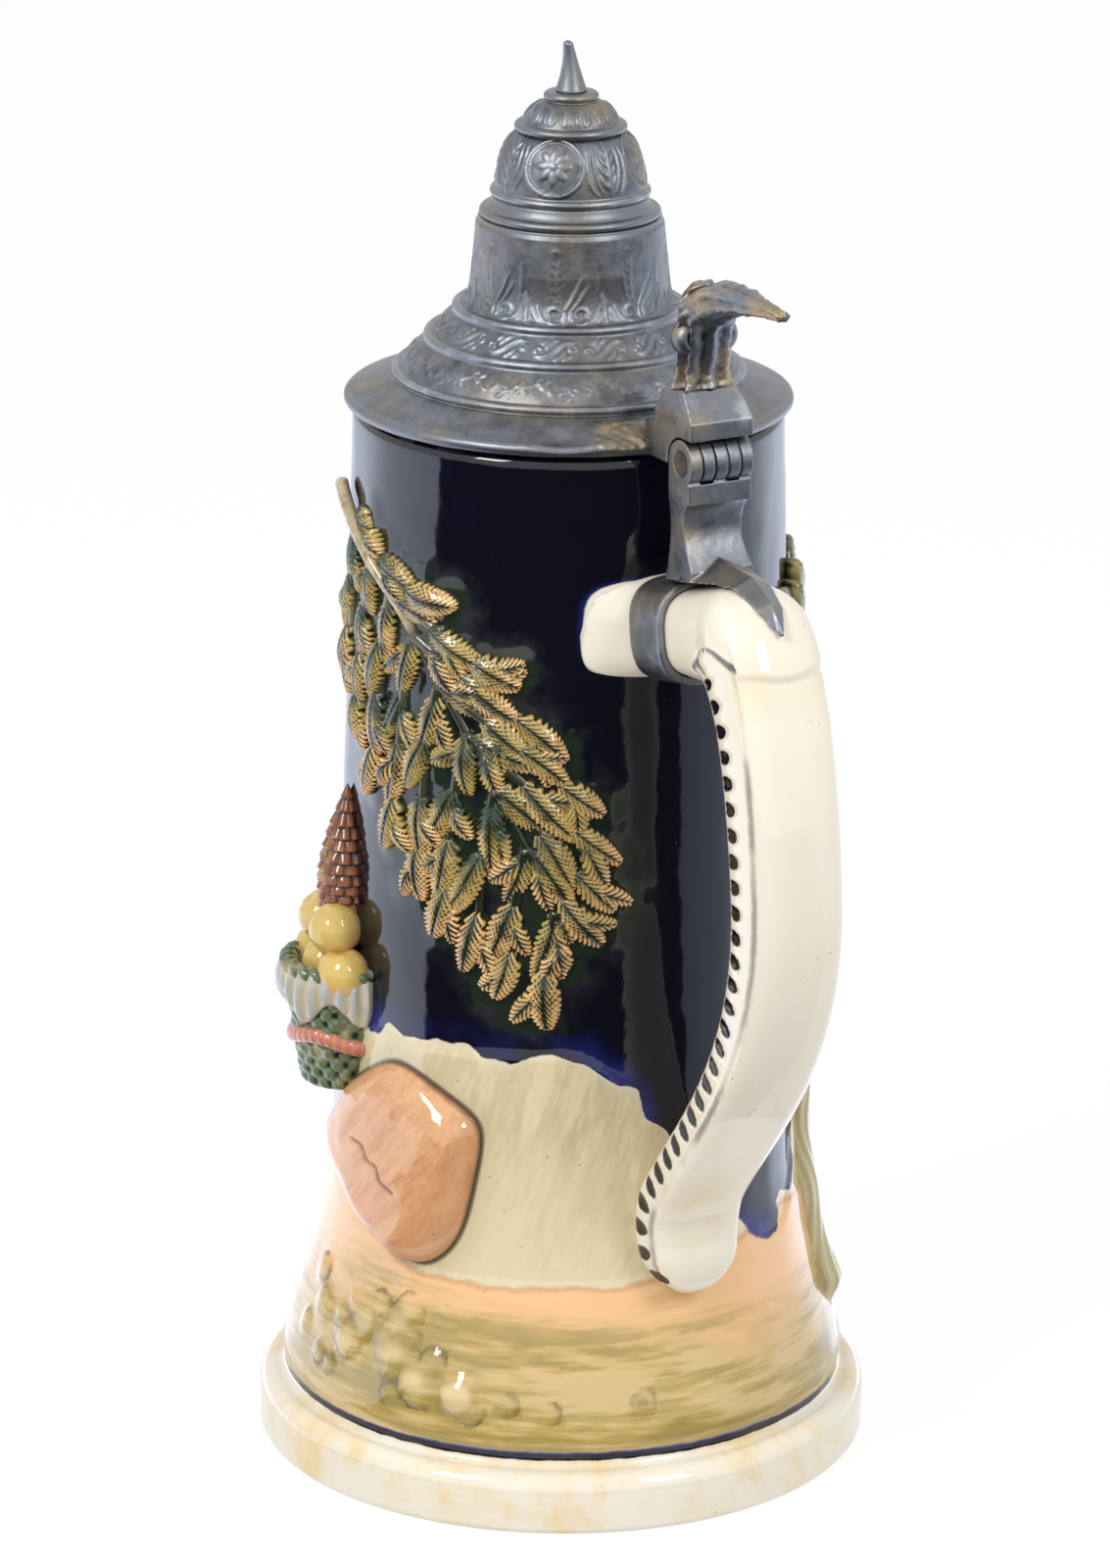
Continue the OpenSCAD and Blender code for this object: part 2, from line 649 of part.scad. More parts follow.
// Thumblift: a stem that swells at its foot and bends out into a pointed leaf, with a scroll on each side
module thumblift() {
    foot = [lift_x, leaf_top_z];
    knee = foot + [0.8, lift_h * 0.52];
    tip = [lift_x + lift_reach, leaf_top_z + lift_h];
    crest = [lift_x + lift_reach * 0.36, leaf_top_z + lift_h + 0.8];
    scroll_r = lift_h * 0.14;
    sides = 16;
    function rise(u) = u <= 1 ? curve(foot, foot + [0, lift_h * 0.2], knee - [0, lift_h * 0.2], knee, u)
        : curve(knee, knee + [0, lift_h * 0.3], crest - [5, 0], tip, u - 1);
    function heading(u) = u == 0 ? [0, 1] : let (d = rise(u) - rise(u - 0.02)) d / norm(d);
    function half_w(u) = lookup(u, [[0, lift_half_w], [0.25, lift_half_w - 0.4], [0.8, lift_neck_w],
        [1.3, lift_neck_w + 0.4], [1.6, lift_neck_w - 0.6], [2, tip_half]]);
    function half_t(u) = lookup(u, [[0, lift_half_t], [1, lift_half_t + 0.3], [1.4, lift_half_t],
        [2, tip_half]]);
    function ring(u) = let (p = rise(u), d = heading(u)) [for (i = [0:sides - 1])
        let (a = 360 * i / sides, q = p + [-d.y, d.x] * half_t(u) * sin(a)) [q.x, half_w(u) * cos(a), q.y]];
    color(bronze)
        union() {
            skin([for (i = [0:sides]) ring(2 * i / sides)]);
            for (side = [-1, 1])
                translate([lift_x, side * (lift_half_w - 1.2), leaf_top_z + scroll_r + 0.4])
                    rotate([90, 0, 0])
                        cylinder(r = scroll_r, h = 3, center = true, $fn = 24);
        }
}

// The vessel's outside drawn in by the key depth, which every relief stands on
module wall_core() {
    rotate_extrude()
        polygon(concat([[0, 0]], [for (i = [0:wall_steps]) let (z = body_h * i / wall_steps)
            [wall_r(z) - key_depth, z]], [[0, body_h]]));
}

// Tapered swelling on the wall between two places, each a turn, a height and a radius
module swelling(a, b) {
    hull()
        for (p = [a, b])
            translate(on_wall(p[0], p[1], p[2] * 0.2))
                sphere(r = p[2], $fn = relief_fn);
}

// Place on the bough's stem, from its root at 0 to its tip at 1
function bough_at(s) = [bough_from + (bough_to - bough_from) * pow(s, 0.85),
    body_h - bough_drop + (bough_tip_z - body_h + bough_drop) * (0.45 * s + 0.55 * s * s)];

// Place at a distance and a heading from a place on the wall
function stray(p, heading, d) = let (deg = 180 / (PI * wall_r(p.y)))
    [p.x + d * sin(heading) * deg, p.y - d * cos(heading)];

// Length and heading of a bough's twig: the longest in the middle, one side raised, the other hanging
function twig_length(i, side) = let (middle = sin(180 * (i + 1) / (bough_twigs + 1)),
        t = i / (bough_twigs - 1))
    side < 0 ? hang_len * (0.62 + 0.38 * middle) * (1 - 0.3 * pow(t, 3)) : raise_len * middle;
function twig_heading(i, side) = side < 0 ? -14
    : let (t = i / (bough_twigs - 1)) 80 - 36 * t - 36 * pow(t, 10);

// Fir bough across the wall: a stem with a twig on each side at even steps
module fir_boughs() {
    droop = 10;
    color(fir_green)
        difference() {
            union() {
                for (i = [0:bough_twigs - 1]) {
                    a = bough_at(i / bough_twigs);
                    b = bough_at((i + 1) / bough_twigs);
                    swelling([a.x, a.y, stem_r], [b.x, b.y, stem_r]);
                    for (side = [-1, 1]) {
                        mid = stray(b, twig_heading(i, side), twig_length(i, side) * 0.45);
                        far = stray(b, twig_heading(i, side) - side * droop, twig_length(i, side));
                        swelling([b.x, b.y, stem_r], [mid.x, mid.y, twig_r]);
                        swelling([mid.x, mid.y, twig_r], [far.x, far.y, stem_r]);
                    }
                }
            }
            wall_core();
        }
}

// The boulder's block: its rounded corners set round its middle, as shares of its width and height
module boulder_block() {
    corners = [[-0.5, 0], [-0.42, 0.16], [0.08, 0.5], [0.37, 0.41], [0.52, 0.3], [0.4, -0.42], [0.3, -0.5],
        [-0.15, -0.32]];
    deg = 180 / (PI * wall_r(boulder_z));
    hull()
        for (p = corners)
            translate(on_wall(boulder_turn + p.x * (boulder_w - 2 * boulder_out) * deg,
                boulder_z + p.y * (boulder_h - 2 * boulder_out)))
                sphere(r = boulder_out, $fn = 20);
}

// Boulder on the wall
module boulder() {
    color(stone_tan)
        difference() {
            boulder_block();
            wall_core();
        }
}

// Basket that stands on the boulder, set half into the wall, with a heap of fruit and a fir cone on top
module fruit_basket() {
    brim_z = basket_z + basket_h;
    step = 1.5 * fruit_r;
    step_turn = step * 180 / (PI * wall_r(brim_z));
    egg = concat([[0, 0]], bow([cone_r * 0.6, 0], [cone_r * 1.3, cone_h * 0.35], [0, cone_h], 12));
    color(wicker)
        difference() {
            union() {
                translate(on_wall(basket_turn, basket_z, -key_depth))
                    cylinder(r1 = basket_r * 0.72, r2 = basket_r, h = basket_h, $fn = 48);
                for (row = [0:1], i = [0:2 - row])
                    translate(on_wall(basket_turn + (i - 1 + row / 2) * step_turn, brim_z + row * step,
                        fruit_r * 0.7))
                        sphere(r = fruit_r, $fn = 24);
                translate(on_wall(basket_turn, brim_z + step, 0))
                    rotate_extrude($fn = 32)
                        polygon(egg);
            }
            wall_core();
            boulder_block();
        }
}

// Tree at the side: a trunk with a bend in it and tufts of leaves round its fork
module tree() {
    lean = 5;
    bend_z = (trunk_foot_z + trunk_top_z) / 2;
    foot = [trunk_turn - lean, trunk_foot_z, trunk_r];
    knee = [trunk_turn - lean * 0.7, trunk_foot_z + flare_len, trunk_r * 0.95];
    bend = [trunk_turn, bend_z, trunk_r * 0.85];
    fork = [trunk_turn + lean, trunk_top_z, trunk_r * 0.6];
    color(bark)
        difference() {
            union() {
                swelling(foot, knee);
                swelling(knee, bend);
                swelling(bend, fork);
                for (i = [0:tree_tufts - 1]) {
                    far = stray(fork, 360 * (i + 0.5) / tree_tufts, tuft_len);
                    swelling(fork, [far.x, far.y, tuft_r]);
                }
            }
            wall_core();
        }
}

vessel();
handle();
handle_strap();
hinge_shank();
hinge_pin();
hinge_leaf();
thumblift();
lid_base();
lid_drum();
lid_crown();
finial();
fir_boughs();
boulder();
fruit_basket();
tree();
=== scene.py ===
"""Lidded relief tankard: glazed and pewter surfaces worked out over the tankard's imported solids."""

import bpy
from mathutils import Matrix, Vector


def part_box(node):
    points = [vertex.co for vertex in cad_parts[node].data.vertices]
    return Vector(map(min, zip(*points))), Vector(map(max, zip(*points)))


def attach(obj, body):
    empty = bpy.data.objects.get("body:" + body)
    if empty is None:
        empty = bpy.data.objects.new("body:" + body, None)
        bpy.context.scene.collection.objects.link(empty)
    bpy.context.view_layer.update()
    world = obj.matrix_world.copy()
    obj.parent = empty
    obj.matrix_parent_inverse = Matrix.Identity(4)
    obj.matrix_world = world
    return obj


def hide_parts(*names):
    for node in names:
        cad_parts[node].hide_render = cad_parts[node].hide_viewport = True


bl_info = {
    "name": "Lidded Relief Tankard",
    "version": (1, 0, 0),
    "blender": (4, 5, 0),
    "location": "View3D > Sidebar > Tankard",
    "description": "Builds a glazed relief tankard with a hinged pewter lid",
    "category": "Add Mesh",
}

import math

import bmesh
import bpy
import numpy as np
from bpy.props import FloatProperty, FloatVectorProperty, IntProperty, PointerProperty
from mathutils import Matrix, Vector

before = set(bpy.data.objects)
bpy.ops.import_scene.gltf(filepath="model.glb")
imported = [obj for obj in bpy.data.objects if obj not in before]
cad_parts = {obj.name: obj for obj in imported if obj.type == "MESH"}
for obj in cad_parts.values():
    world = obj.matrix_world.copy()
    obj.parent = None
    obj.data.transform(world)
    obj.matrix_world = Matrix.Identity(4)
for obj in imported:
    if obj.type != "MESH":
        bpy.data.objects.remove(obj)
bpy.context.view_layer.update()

MM = 0.001
WELD, SAME_POINT = 1e-7, 1e-6
FULL_TURN = 2 * math.pi


# Properties

def length(name, description, millimetres):
    """A length that the panel shows in scene units, given here in millimetres."""
    return FloatProperty(name=name, description=description, default=millimetres * MM, min=0.0,
                         unit="LENGTH", precision=5)


def angle(name, description, degrees):
    """An angle, given here in degrees."""
    return FloatProperty(name=name, description=description, default=math.radians(degrees), subtype="ANGLE")


def colour(name, description, *red_green_blue):
    """A linear colour."""
    return FloatVectorProperty(name=name, description=description, default=red_green_blue, size=3,
                               min=0.0, max=1.0, subtype="COLOR")


def number(name, description, count):
    """A count of like things."""
    return IntProperty(name=name, description=description, default=count, min=1)


class VesselSizes(bpy.types.PropertyGroup):
    """Sizes of the thrown body and of the painted bands on its wall"""
    body_height: length("Body height", "Height of the body to its lip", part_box("vessel")[1].z / MM)
    rim_radius: length("Lip radius", "Outer radius of the wall at the lip", 44.2)
    wall_taper: length("Taper", "How much wider the plain wall is at its base", 5.5)
    flare_out: length("Flare", "Extra radius just above the foot", 9.7)
    flare_height: length("Flare height", "Height over which the flare dies away", 28)
    wall_thickness: length("Wall", "Thickness of the wall", 4.2)
    floor_thickness: length("Floor", "Thickness of the floor", 11)
    floor_round: length("Floor corner", "Radius between the floor and the inner wall", 10)
    foot_height: length("Foot height", "Height of the foot ring", 13)
    foot_out: length("Foot overhang", "How far the foot stands out past the wall", 5.4)
    foot_round: length("Foot shoulder", "Rounding of the foot's upper edge", 4.2)
    foot_edge: length("Foot edge", "Rounding of the foot's lower edge", 1.6)
    key_depth: length("Key", "Depth that relief is keyed into the wall", 0.8)
    hill_height: length("Hill height", "Height of the painted hill", 98.5)
    hill_fall: length("Hill fall", "Drop of the hill behind the handle", 46)
    hill_rise: length("Hill relief", "How far the hill stands out of the wall", 0.7)
    ground_height: length("Ground height", "Upper edge of the painted ground", 49)
    line_height: length("Line height", "Middle of the blue line above the foot", 15.2)


class HandleSizes(bpy.types.PropertyGroup):
    """Sizes of the loop handle and its beaded edge"""
    arm_drop: length("Arm drop", "Depth of the arm's axis below the lip", 33.5)
    arm_rise: length("Arm rise", "How far the arm climbs to the shoulder", 5)
    arm_length: length("Arm length", "Length of the arm from the wall", 27)
    arm_half_height: length("Arm half height", "Half height of the arm", 9)
    arm_half_width: length("Arm half width", "Half width of the arm", 10.8)
    root_half_width: length("Root half width", "Half width of the arm's root", 18)
    shoulder_half: length("Shoulder half thickness", "Half thickness of the shoulder", 10.4)
    grip_reach: length("Grip reach", "Reach of the grip past the lip", 46.2)
    grip_drop: length("Grip drop", "Depth of the grip's furthest point", 80)
    grip_half_width: length("Grip half width", "Half width of the grip", 10.7)
    grip_half: length("Grip half thickness", "Half thickness of the grip", 7.7)
    low_root_height: length("Lower root height", "Height of the lower root's tip", 48)
    low_root_length: length("Lower root length", "Length of the lower root on the wall", 22)
    low_root_half: length("Lower root half", "Half thickness of the lower root", 5.8)
    strap_from_wall: length("Strap place", "Distance of the strap from the wall", 3)
    strap_width: length("Strap width", "Width of the strap along the arm", 12)
    strap_thickness: length("Strap thickness", "Thickness of the strap", 1.6)
    mount_gap: length("Mount gap", "Gap between the strap and the glaze", 0.15)
    dot_pitch: length("Dot pitch", "Distance between neighbouring dots", 5.3)
    dot_radius: length("Dot radius", "Half length of a pressed dot along the handle", 1.65)
    dot_depth: length("Dot depth", "Depth of a pressed dot", 0.55)
    dot_inset: length("Dot inset", "Distance of the dots from the inner face", 4.7)


class LidSizes(bpy.types.PropertyGroup):
    """Sizes of the pewter lid and its ornament"""
    lid_gap: length("Lid gap", "Gap between the lip and the closed lid", 0.3)
    flange_over: length("Flange overhang", "How far the flange reaches past the lip", 1.8)
    flange_thickness: length("Flange thickness", "Thickness of the flange's edge", 2.6)
    flange_rise: length("Flange rise", "Height of the flange at the first tier", 6)
    tier_radius: length("Tier radius", "Radius of the first tier", 35.4)
    tier_height: length("Tier height", "Height of the first tier", 7.2)
    ridge_radius: length("Ridge radius", "Radius between the tiers", 29.8)
    second_height: length("Second height", "Height of the second tier", 6)
    drum_foot_radius: length("Drum foot", "Radius at the drum's foot", 24)
    drum_radius: length("Drum radius", "Radius of the drum", 19.4)
    drum_height: length("Drum height", "Height of the drum", 18)
    crown_radius: length("Crown radius", "Radius of the crown's foot", 15.5)
    crown_height: length("Crown height", "Height of the crown", 19.2)
    cap_radius: length("Cap radius", "Radius of the leaf cap", 10.8)
    cap_height: length("Cap height", "Height of the leaf cap", 6.2)
    collar_radius: length("Collar radius", "Radius under the finial", 5.6)
    finial_height: length("Finial height", "Height of the finial", 10.4)
    finial_radius: length("Finial radius", "Radius of the finial's foot", 3.2)
    finial_bend: length("Finial bend", "How far the finial's tip is bent over", 0.9)
    shell: length("Shell", "Wall of the castings", 2.4)
    bead: length("Bead", "Radius of the beads between the tiers", 0.9)
    ornament: length("Ornament", "Height of the cast ornament", 0.3)
    lift_height: length("Thumblift height", "Height of the thumblift", 20.5)
    lift_reach: length("Thumblift reach", "Reach of the thumblift's leaf", 31)
    wear: length("Wear", "Size to which the hinge's edges are worn", 0.22)


class ReliefSizes(bpy.types.PropertyGroup):
    """Sizes and places of the moulded relief"""
    bough_from: angle("Bough root", "Turn of the bough's root", -112)
    bough_to: angle("Bough tip", "Turn of the bough's tip", -31)
    bough_drop: length("Bough drop", "Depth of the bough's root below the lip", 16)
    bough_tip_height: length("Bough tip height", "Height of the bough's tip", 130)
    bough_twigs: number("Twigs", "Twigs on each side of the bough", 9)
    hang_length: length("Hanging twig", "Length of the longest hanging twig", 48)
    raise_length: length("Raised twig", "Length of the longest raised twig", 42)
    frond_pitch: length("Frond pitch", "Step of the fronds along a twig", 11.5)
    frond_half_width: length("Frond half width", "Half width of a frond of needles", 2.7)
    boulder_turn: angle("Boulder turn", "Turn of the boulder's middle", -76)
    boulder_height_at: length("Boulder place", "Height of the boulder's middle", 72)
    boulder_width: length("Boulder width", "Width of the boulder", 45)
    boulder_height: length("Boulder height", "Height of the boulder", 43)
    boulder_out: length("Boulder relief", "How far the boulder stands out", 7)
    basket_turn: angle("Basket turn", "Turn of the basket's middle", -103)
    basket_drop: length("Basket drop", "Depth of the basket's foot below the boulder's top", 12)
    basket_radius: length("Basket radius", "Radius of the basket's brim", 13)
    basket_height: length("Basket height", "Height of the basket", 26)
    fruit_radius: length("Fruit radius", "Radius of a fruit", 5.6)
    cone_radius: length("Cone radius", "Radius of the fir cone", 7.2)
    cone_height: length("Cone height", "Height of the fir cone", 30)
    trunk_turn: angle("Trunk turn", "Turn of the tree's trunk", 62)
    trunk_lean: angle("Trunk lean", "Turn of the trunk's foot and fork from its middle", 5)
    trunk_radius: length("Trunk radius", "Radius of the trunk's foot", 3.6)
    trunk_foot: length("Trunk foot", "Height of the trunk's foot", 27)
    trunk_top: length("Trunk fork", "Height of the trunk's fork", 166)
    tufts: number("Tufts", "Tufts of leaves round the fork", 7)
    tuft_length: length("Tuft length", "Reach of a tuft from the fork", 25)


class GlazeColours(bpy.types.PropertyGroup):
    """Colours of the glazes"""
    cobalt: colour("Cobalt", "Deep blue of the wall", 0.003, 0.003, 0.008)
    cobalt_thin: colour("Thin cobalt", "Blue where the glaze runs thin", 0.02, 0.03, 0.26)
    cream: colour("Cream", "Foot, handle and inside", 0.84, 0.78, 0.65)
    cream_warm: colour("Warm cream", "Yellow staining in the cream", 0.82, 0.63, 0.33)
    hill: colour("Hill", "Pale grey-green hill", 0.76, 0.65, 0.42)
    hill_dark: colour("Hill strokes", "Darker strokes in the hill", 0.57, 0.485, 0.285)
    peach: colour("Peach ground", "Orange part of the ground", 0.86, 0.52, 0.25)
    olive: colour("Olive ground", "Green part of the ground", 0.50, 0.36, 0.115)
    fir_dark: colour("Fir shadow", "Green in the hollows of the boughs", 0.014, 0.022, 0.011)
    fir_olive: colour("Fir", "Olive of the needles", 0.56, 0.40, 0.12)
    fir_tip: colour("Fir tips", "Ochre of the tips", 0.95, 0.58, 0.26)
    stone: colour("Stone", "Orange tan of the boulder", 0.755, 0.42, 0.216)
    stone_dark: colour("Stone strokes", "Brown strokes on the boulder", 0.57, 0.265, 0.115)
    ink: colour("Ink", "Dark line in hollows and dots", 0.012, 0.010, 0.016)
    russet: colour("Russet", "Brown of the fir cone", 0.24, 0.075, 0.022)
    straw: colour("Straw", "Yellow of the fruit", 0.66, 0.47, 0.13)
    linen: colour("Linen", "Grey white of the swag", 0.45, 0.45, 0.43)
    rose: colour("Rose", "Pink of the ribbon", 0.52, 0.17, 0.14)
    leaf: colour("Leaf", "Grey green of the leaves and wicker", 0.13, 0.17, 0.085)
    bark: colour("Bark", "Pale olive of the trunk", 0.46, 0.40, 0.23)


class PewterColours(bpy.types.PropertyGroup):
    """Colours of the metal"""
    metal: colour("Pewter", "Worn grey of the pewter", 0.195, 0.21, 0.235)
    recess: colour("Pewter recess", "Dark grey in the hollows", 0.066, 0.071, 0.08)
    bright: colour("Pewter ridge", "Rubbed metal on the ridges", 0.40, 0.42, 0.46)
    brown: colour("Patina", "Brown tarnish", 0.24, 0.20, 0.15)
    ochre: colour("Ochre tarnish", "Yellow tarnish in the castings", 0.46, 0.34, 0.17)


class StageSettings(bpy.types.PropertyGroup):
    """Camera and light"""
    azimuth: angle("Camera azimuth", "Turn of the camera round the tankard", 61)
    distance: length("Camera distance", "Distance of the camera from the axis", 1323.6)
    height: length("Camera height", "Height of the camera", 571.3)
    pitch: angle("Camera pitch", "How far the camera looks down", 17.98)
    yaw: angle("Camera yaw", "How far the camera looks to the right", -0.097)
    roll: angle("Camera roll", "Roll of the camera", 0.424)
    lens: FloatProperty(name="Lens", description="Focal length in millimetres", default=153.34, min=1.0)
    world: FloatProperty(name="Room light", description="Strength of the light from all round", default=0.67,
                         min=0.0)
    left: FloatProperty(name="Left softbox", description="Power of the left softbox", default=8.2, min=0.0,
                        unit="POWER")
    right: FloatProperty(name="Right softbox", description="Power of the right softbox", default=5.0, min=0.0,
                         unit="POWER")


GROUPS = {"vessel": VesselSizes, "handle": HandleSizes, "lid": LidSizes, "relief": ReliefSizes,
          "glaze": GlazeColours, "pewter": PewterColours, "stage": StageSettings}


def settings(group):
    """The scene's property group of that name."""
    return getattr(bpy.context.scene, "tankard_" + group)


# Curves and outlines

def ease(x):
    """Smooth step from 0 to 1: 3x^2 - 2x^3 on x held between 0 and 1."""
    x = np.clip(x, 0, 1)
    return x * x * (3 - 2 * x)


def swell(x):
    """Raised cosine: 1 at 0, falling to 0 at -1 and 1 and beyond."""
    return 0.5 + 0.5 * np.cos(np.pi * np.clip(x, -1, 1))


def turn_gap(turn, centre):
    """Signed angle from a centre to a turn, the short way round."""
    return (turn - centre + np.pi) % FULL_TURN - np.pi


def near_turn(turn, centre, half):
    """Swell about a turn, whose centre and half width are in degrees."""
    return swell(turn_gap(turn, math.radians(centre)) / math.radians(half))


def power(x, exponent):
    """Signed power: the sign of x times its size to the exponent."""
    return np.sign(x) * np.abs(x) ** exponent


def arc(centre, radius, start, stop, count):
    """Points on a circle about a centre, from one angle in degrees to another."""
    a = np.radians(np.linspace(start, stop, count))
    return np.stack([centre[0] + radius * np.cos(a), centre[1] + radius * np.sin(a)], -1)


def line(start, stop, count):
    """Points at even steps on a straight line."""
    return np.linspace(np.asarray(start, float), np.asarray(stop, float), count)


def bow(start, pull, stop, count):
    """Points on a quadratic curve: (1-t)^2 start + 2t(1-t) pull + t^2 stop."""
    t = np.linspace(0, 1, count)[:, None]
    start, pull, stop = (np.asarray(p, float) for p in (start, pull, stop))
    return (1 - t) ** 2 * start + 2 * t * (1 - t) * pull + t * t * stop


def cubic(t, a, b, c, d):
    """Points on a cubic curve: (1-t)^3 a + 3t(1-t)^2 b + 3t^2(1-t) c + t^3 d."""
    return (1 - t) ** 3 * a + 3 * (1 - t) ** 2 * t * b + 3 * (1 - t) * t * t * c + t ** 3 * d


def ring(count):
    """Angles at even steps round a full turn, without its end."""
    return np.linspace(0, FULL_TURN, count, endpoint=False)


def unit(vectors):
    """Vectors scaled to length 1."""
    return vectors / np.linalg.norm(vectors, axis=-1, keepdims=True)


def left_of(tangent):
    """Vectors in a plane turned a quarter to the left."""
    return np.stack([-tangent[:, 1], tangent[:, 0]], -1)


def steps(points):
    """Distance from each point of a line to the next."""
    return np.linalg.norm(np.diff(points, axis=0), axis=1)


def run_along(points):
    """Distance of each point along a line of points."""
    return np.concatenate([[0], np.cumsum(steps(points))])


def fresh(outline):
    """Which points of an outline don't repeat the one before."""
    return np.concatenate([[True], steps(outline) > SAME_POINT])


def ends(values):
    """Values with the first and the last row given twice, as capped rings need them."""
    return np.pad(values, [(1, 1), (0, 0)], "edge")


def ripple(points, wavelength, seed, waves=9):
    """Seeded roughness, about -1 to 1: the scaled mean of sine waves of one length in random directions."""
    rng = np.random.default_rng(seed)
    direction = unit(rng.normal(size=(waves, 3)))
    phase = rng.uniform(0, FULL_TURN, waves)
    return 1.8 * np.sin(points @ direction.T * (FULL_TURN / wavelength) + phase).mean(-1)


# Meshes

class Surface:
    """A grid of points, or a stack of like grids, with named values at its points.

    Rows and columns may each close on themselves."""

    def __init__(self, points, loop_rows=False, loop_cols=True, **fields):
        points = np.asarray(points, float)
        self.points = points if points.ndim == 4 else points[None]
        self.loop_rows, self.loop_cols = loop_rows, loop_cols
        self.fields = {name: np.broadcast_to(value, self.points.shape[:3]) for name, value in fields.items()}

    def faces(self, first):
        """Quads between neighbouring rows and columns, numbered from a first point."""
        count, rows, cols, _ = self.points.shape
        i, j = np.meshgrid(np.arange(rows if self.loop_rows else rows - 1),
                           np.arange(cols if self.loop_cols else cols - 1), indexing="ij")
        below, beside = (i + 1) % rows, (j + 1) % cols
        quads = np.stack([i * cols + j, i * cols + beside, below * cols + beside, below * cols + j], -1)
        start = first + np.arange(count) * rows * cols
        return (quads.reshape(1, -1, 4) + start[:, None, None]).reshape(-1, 4)


def finish_mesh(mesh):
    """Merge coincident points, turn every closed shell outwards and shade it smooth."""
    bm = bmesh.new()
    bm.from_mesh(mesh)
    bmesh.ops.remove_doubles(bm, verts=bm.verts, dist=WELD)
    bmesh.ops.recalc_face_normals(bm, faces=bm.faces)
    bm.to_mesh(mesh)
    bm.free()
    mesh.shade_smooth()


def add_field(mesh, name, values):
    """Named value at each point of a mesh."""
    attribute = mesh.attributes.new(name, "FLOAT", "POINT")
    attribute.data.foreach_set("value", values.astype(np.float32).ravel())


def surface_mesh(name, surfaces):
    """Mesh of several surfaces with their fields, which are 0 where a surface has none."""
    first = np.cumsum([0] + [s.points[..., 0].size for s in surfaces])
    points = np.concatenate([s.points.reshape(-1, 3) for s in surfaces])
    faces = np.concatenate([s.faces(start) for s, start in zip(surfaces, first)]).astype(np.int32)
    mesh = bpy.data.meshes.new(name)
    mesh.vertices.add(len(points))
    mesh.vertices.foreach_set("co", points.astype(np.float32).ravel())
    mesh.loops.add(faces.size)
    mesh.loops.foreach_set("vertex_index", faces.ravel())
    mesh.polygons.add(len(faces))
    mesh.polygons.foreach_set("loop_start", np.arange(0, faces.size, 4, dtype=np.int32))
    for field in sorted({field for s in surfaces for field in s.fields}):
        values = [s.fields.get(field, np.zeros(s.points.shape[:3])).ravel() for s in surfaces]
        add_field(mesh, field, np.concatenate(values))
    mesh.update(calc_edges=True)
    finish_mesh(mesh)
    return mesh


def make_piece(name, surfaces, material, body, slot, *nodes):
    """Object of several surfaces in one mesh, riding on a body and standing for CAD nodes."""
    return place_piece(name, surface_mesh(name, surfaces), material, body, slot, *nodes)


def place_piece(name, mesh, material, body, slot, *nodes):
    """Put a mesh into the scene with its finish, on its body and for the CAD nodes it stands for."""
    mesh.materials.clear()
    mesh.materials.append(material)
    piece = bpy.data.objects.new(name, mesh)
    bpy.context.scene.collection.objects.link(piece)
    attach(piece, body)
    if nodes:
        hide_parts(*nodes)
    return piece


def capped(rings):
    """Rings with a point added at each end, the mean of the end ring, so that the tube closes."""
    first, last = rings[..., :1, :, :], rings[..., -1:, :, :]
    start, stop = (np.broadcast_to(r.mean(-2, keepdims=True), r.shape) for r in (first, last))
    return np.concatenate([start, rings, stop], -3)


def lathe(outline, columns):
    """Points of an outline of radius and height turned about the axis, and the turn of each column."""
    turn = ring(columns)
    r, z = outline[:, :1], outline[:, 1:]
    return np.stack([r * np.cos(turn), r * np.sin(turn), z + 0 * turn], -1), turn


# The wall, which every relief stands on

def wall_radius(z):
    """Outer radius of the wall: the lip's radius, a straight taper and a bell-shaped flare."""
    v = settings("vessel")
    return (v.rim_radius + v.wall_taper * (1 - z / v.body_height)
            + v.flare_out * np.exp(-((z - v.foot_height) / v.flare_height) ** 2))


def bore_radius(z):
    """Inner radius of the wall: the taper without the flare, less the wall's thickness."""
    v = settings("vessel")
    return v.rim_radius + v.wall_taper * (1 - z / v.body_height) - v.wall_thickness


def on_wall(turn, z, out):
    """Point at a turn and a height, a distance out from the wall."""
    r = wall_radius(z) + out
    return np.stack(np.broadcast_arrays(r * np.cos(turn), r * np.sin(turn), z), -1)


def stray(turn, z, heading, distance):
    """Turn and height at a distance along a heading, which is 0 straight down and grows with the turn."""
    return turn + distance * np.sin(heading) / wall_radius(z), z - distance * np.cos(heading)


def settle(points):
    """Move points that lie too deep straight out from the axis to the key depth under the wall's face."""
    r = np.hypot(points[..., 0], points[..., 1])
    seat = wall_radius(points[..., 2]) - settings("vessel").key_depth
    scale = np.maximum(1, seat / np.maximum(r, WELD))[..., None]
    return points * np.concatenate([scale, scale, np.ones_like(scale)], -1)


def hill_top(turn):
    """Height of the hill's edge: level with a slow swell, and lower behind the handle."""
    v = settings("vessel")
    fall = near_turn(turn, 30, 60)
    return v.hill_height + 1.2 * MM * np.sin(3 * turn + 2.4) - v.hill_fall * fall


def ground_top(turn):
    """Height of the ground's edge: level, and rising to meet the hill by the tree and by the boulder."""
    v = settings("vessel")
    by_tree = near_turn(turn, 40, 62)
    by_boulder = near_turn(turn, -112, 52)
    return v.ground_height + 7 * MM * by_tree + 20 * MM * by_boulder


BOULDER_CORNERS = [[-0.5, 0], [-0.15, -0.32], [0.3, -0.5], [0.4, -0.42],
                   [0.52, 0.3], [0.37, 0.41], [0.08, 0.5], [-0.42, 0.16]]


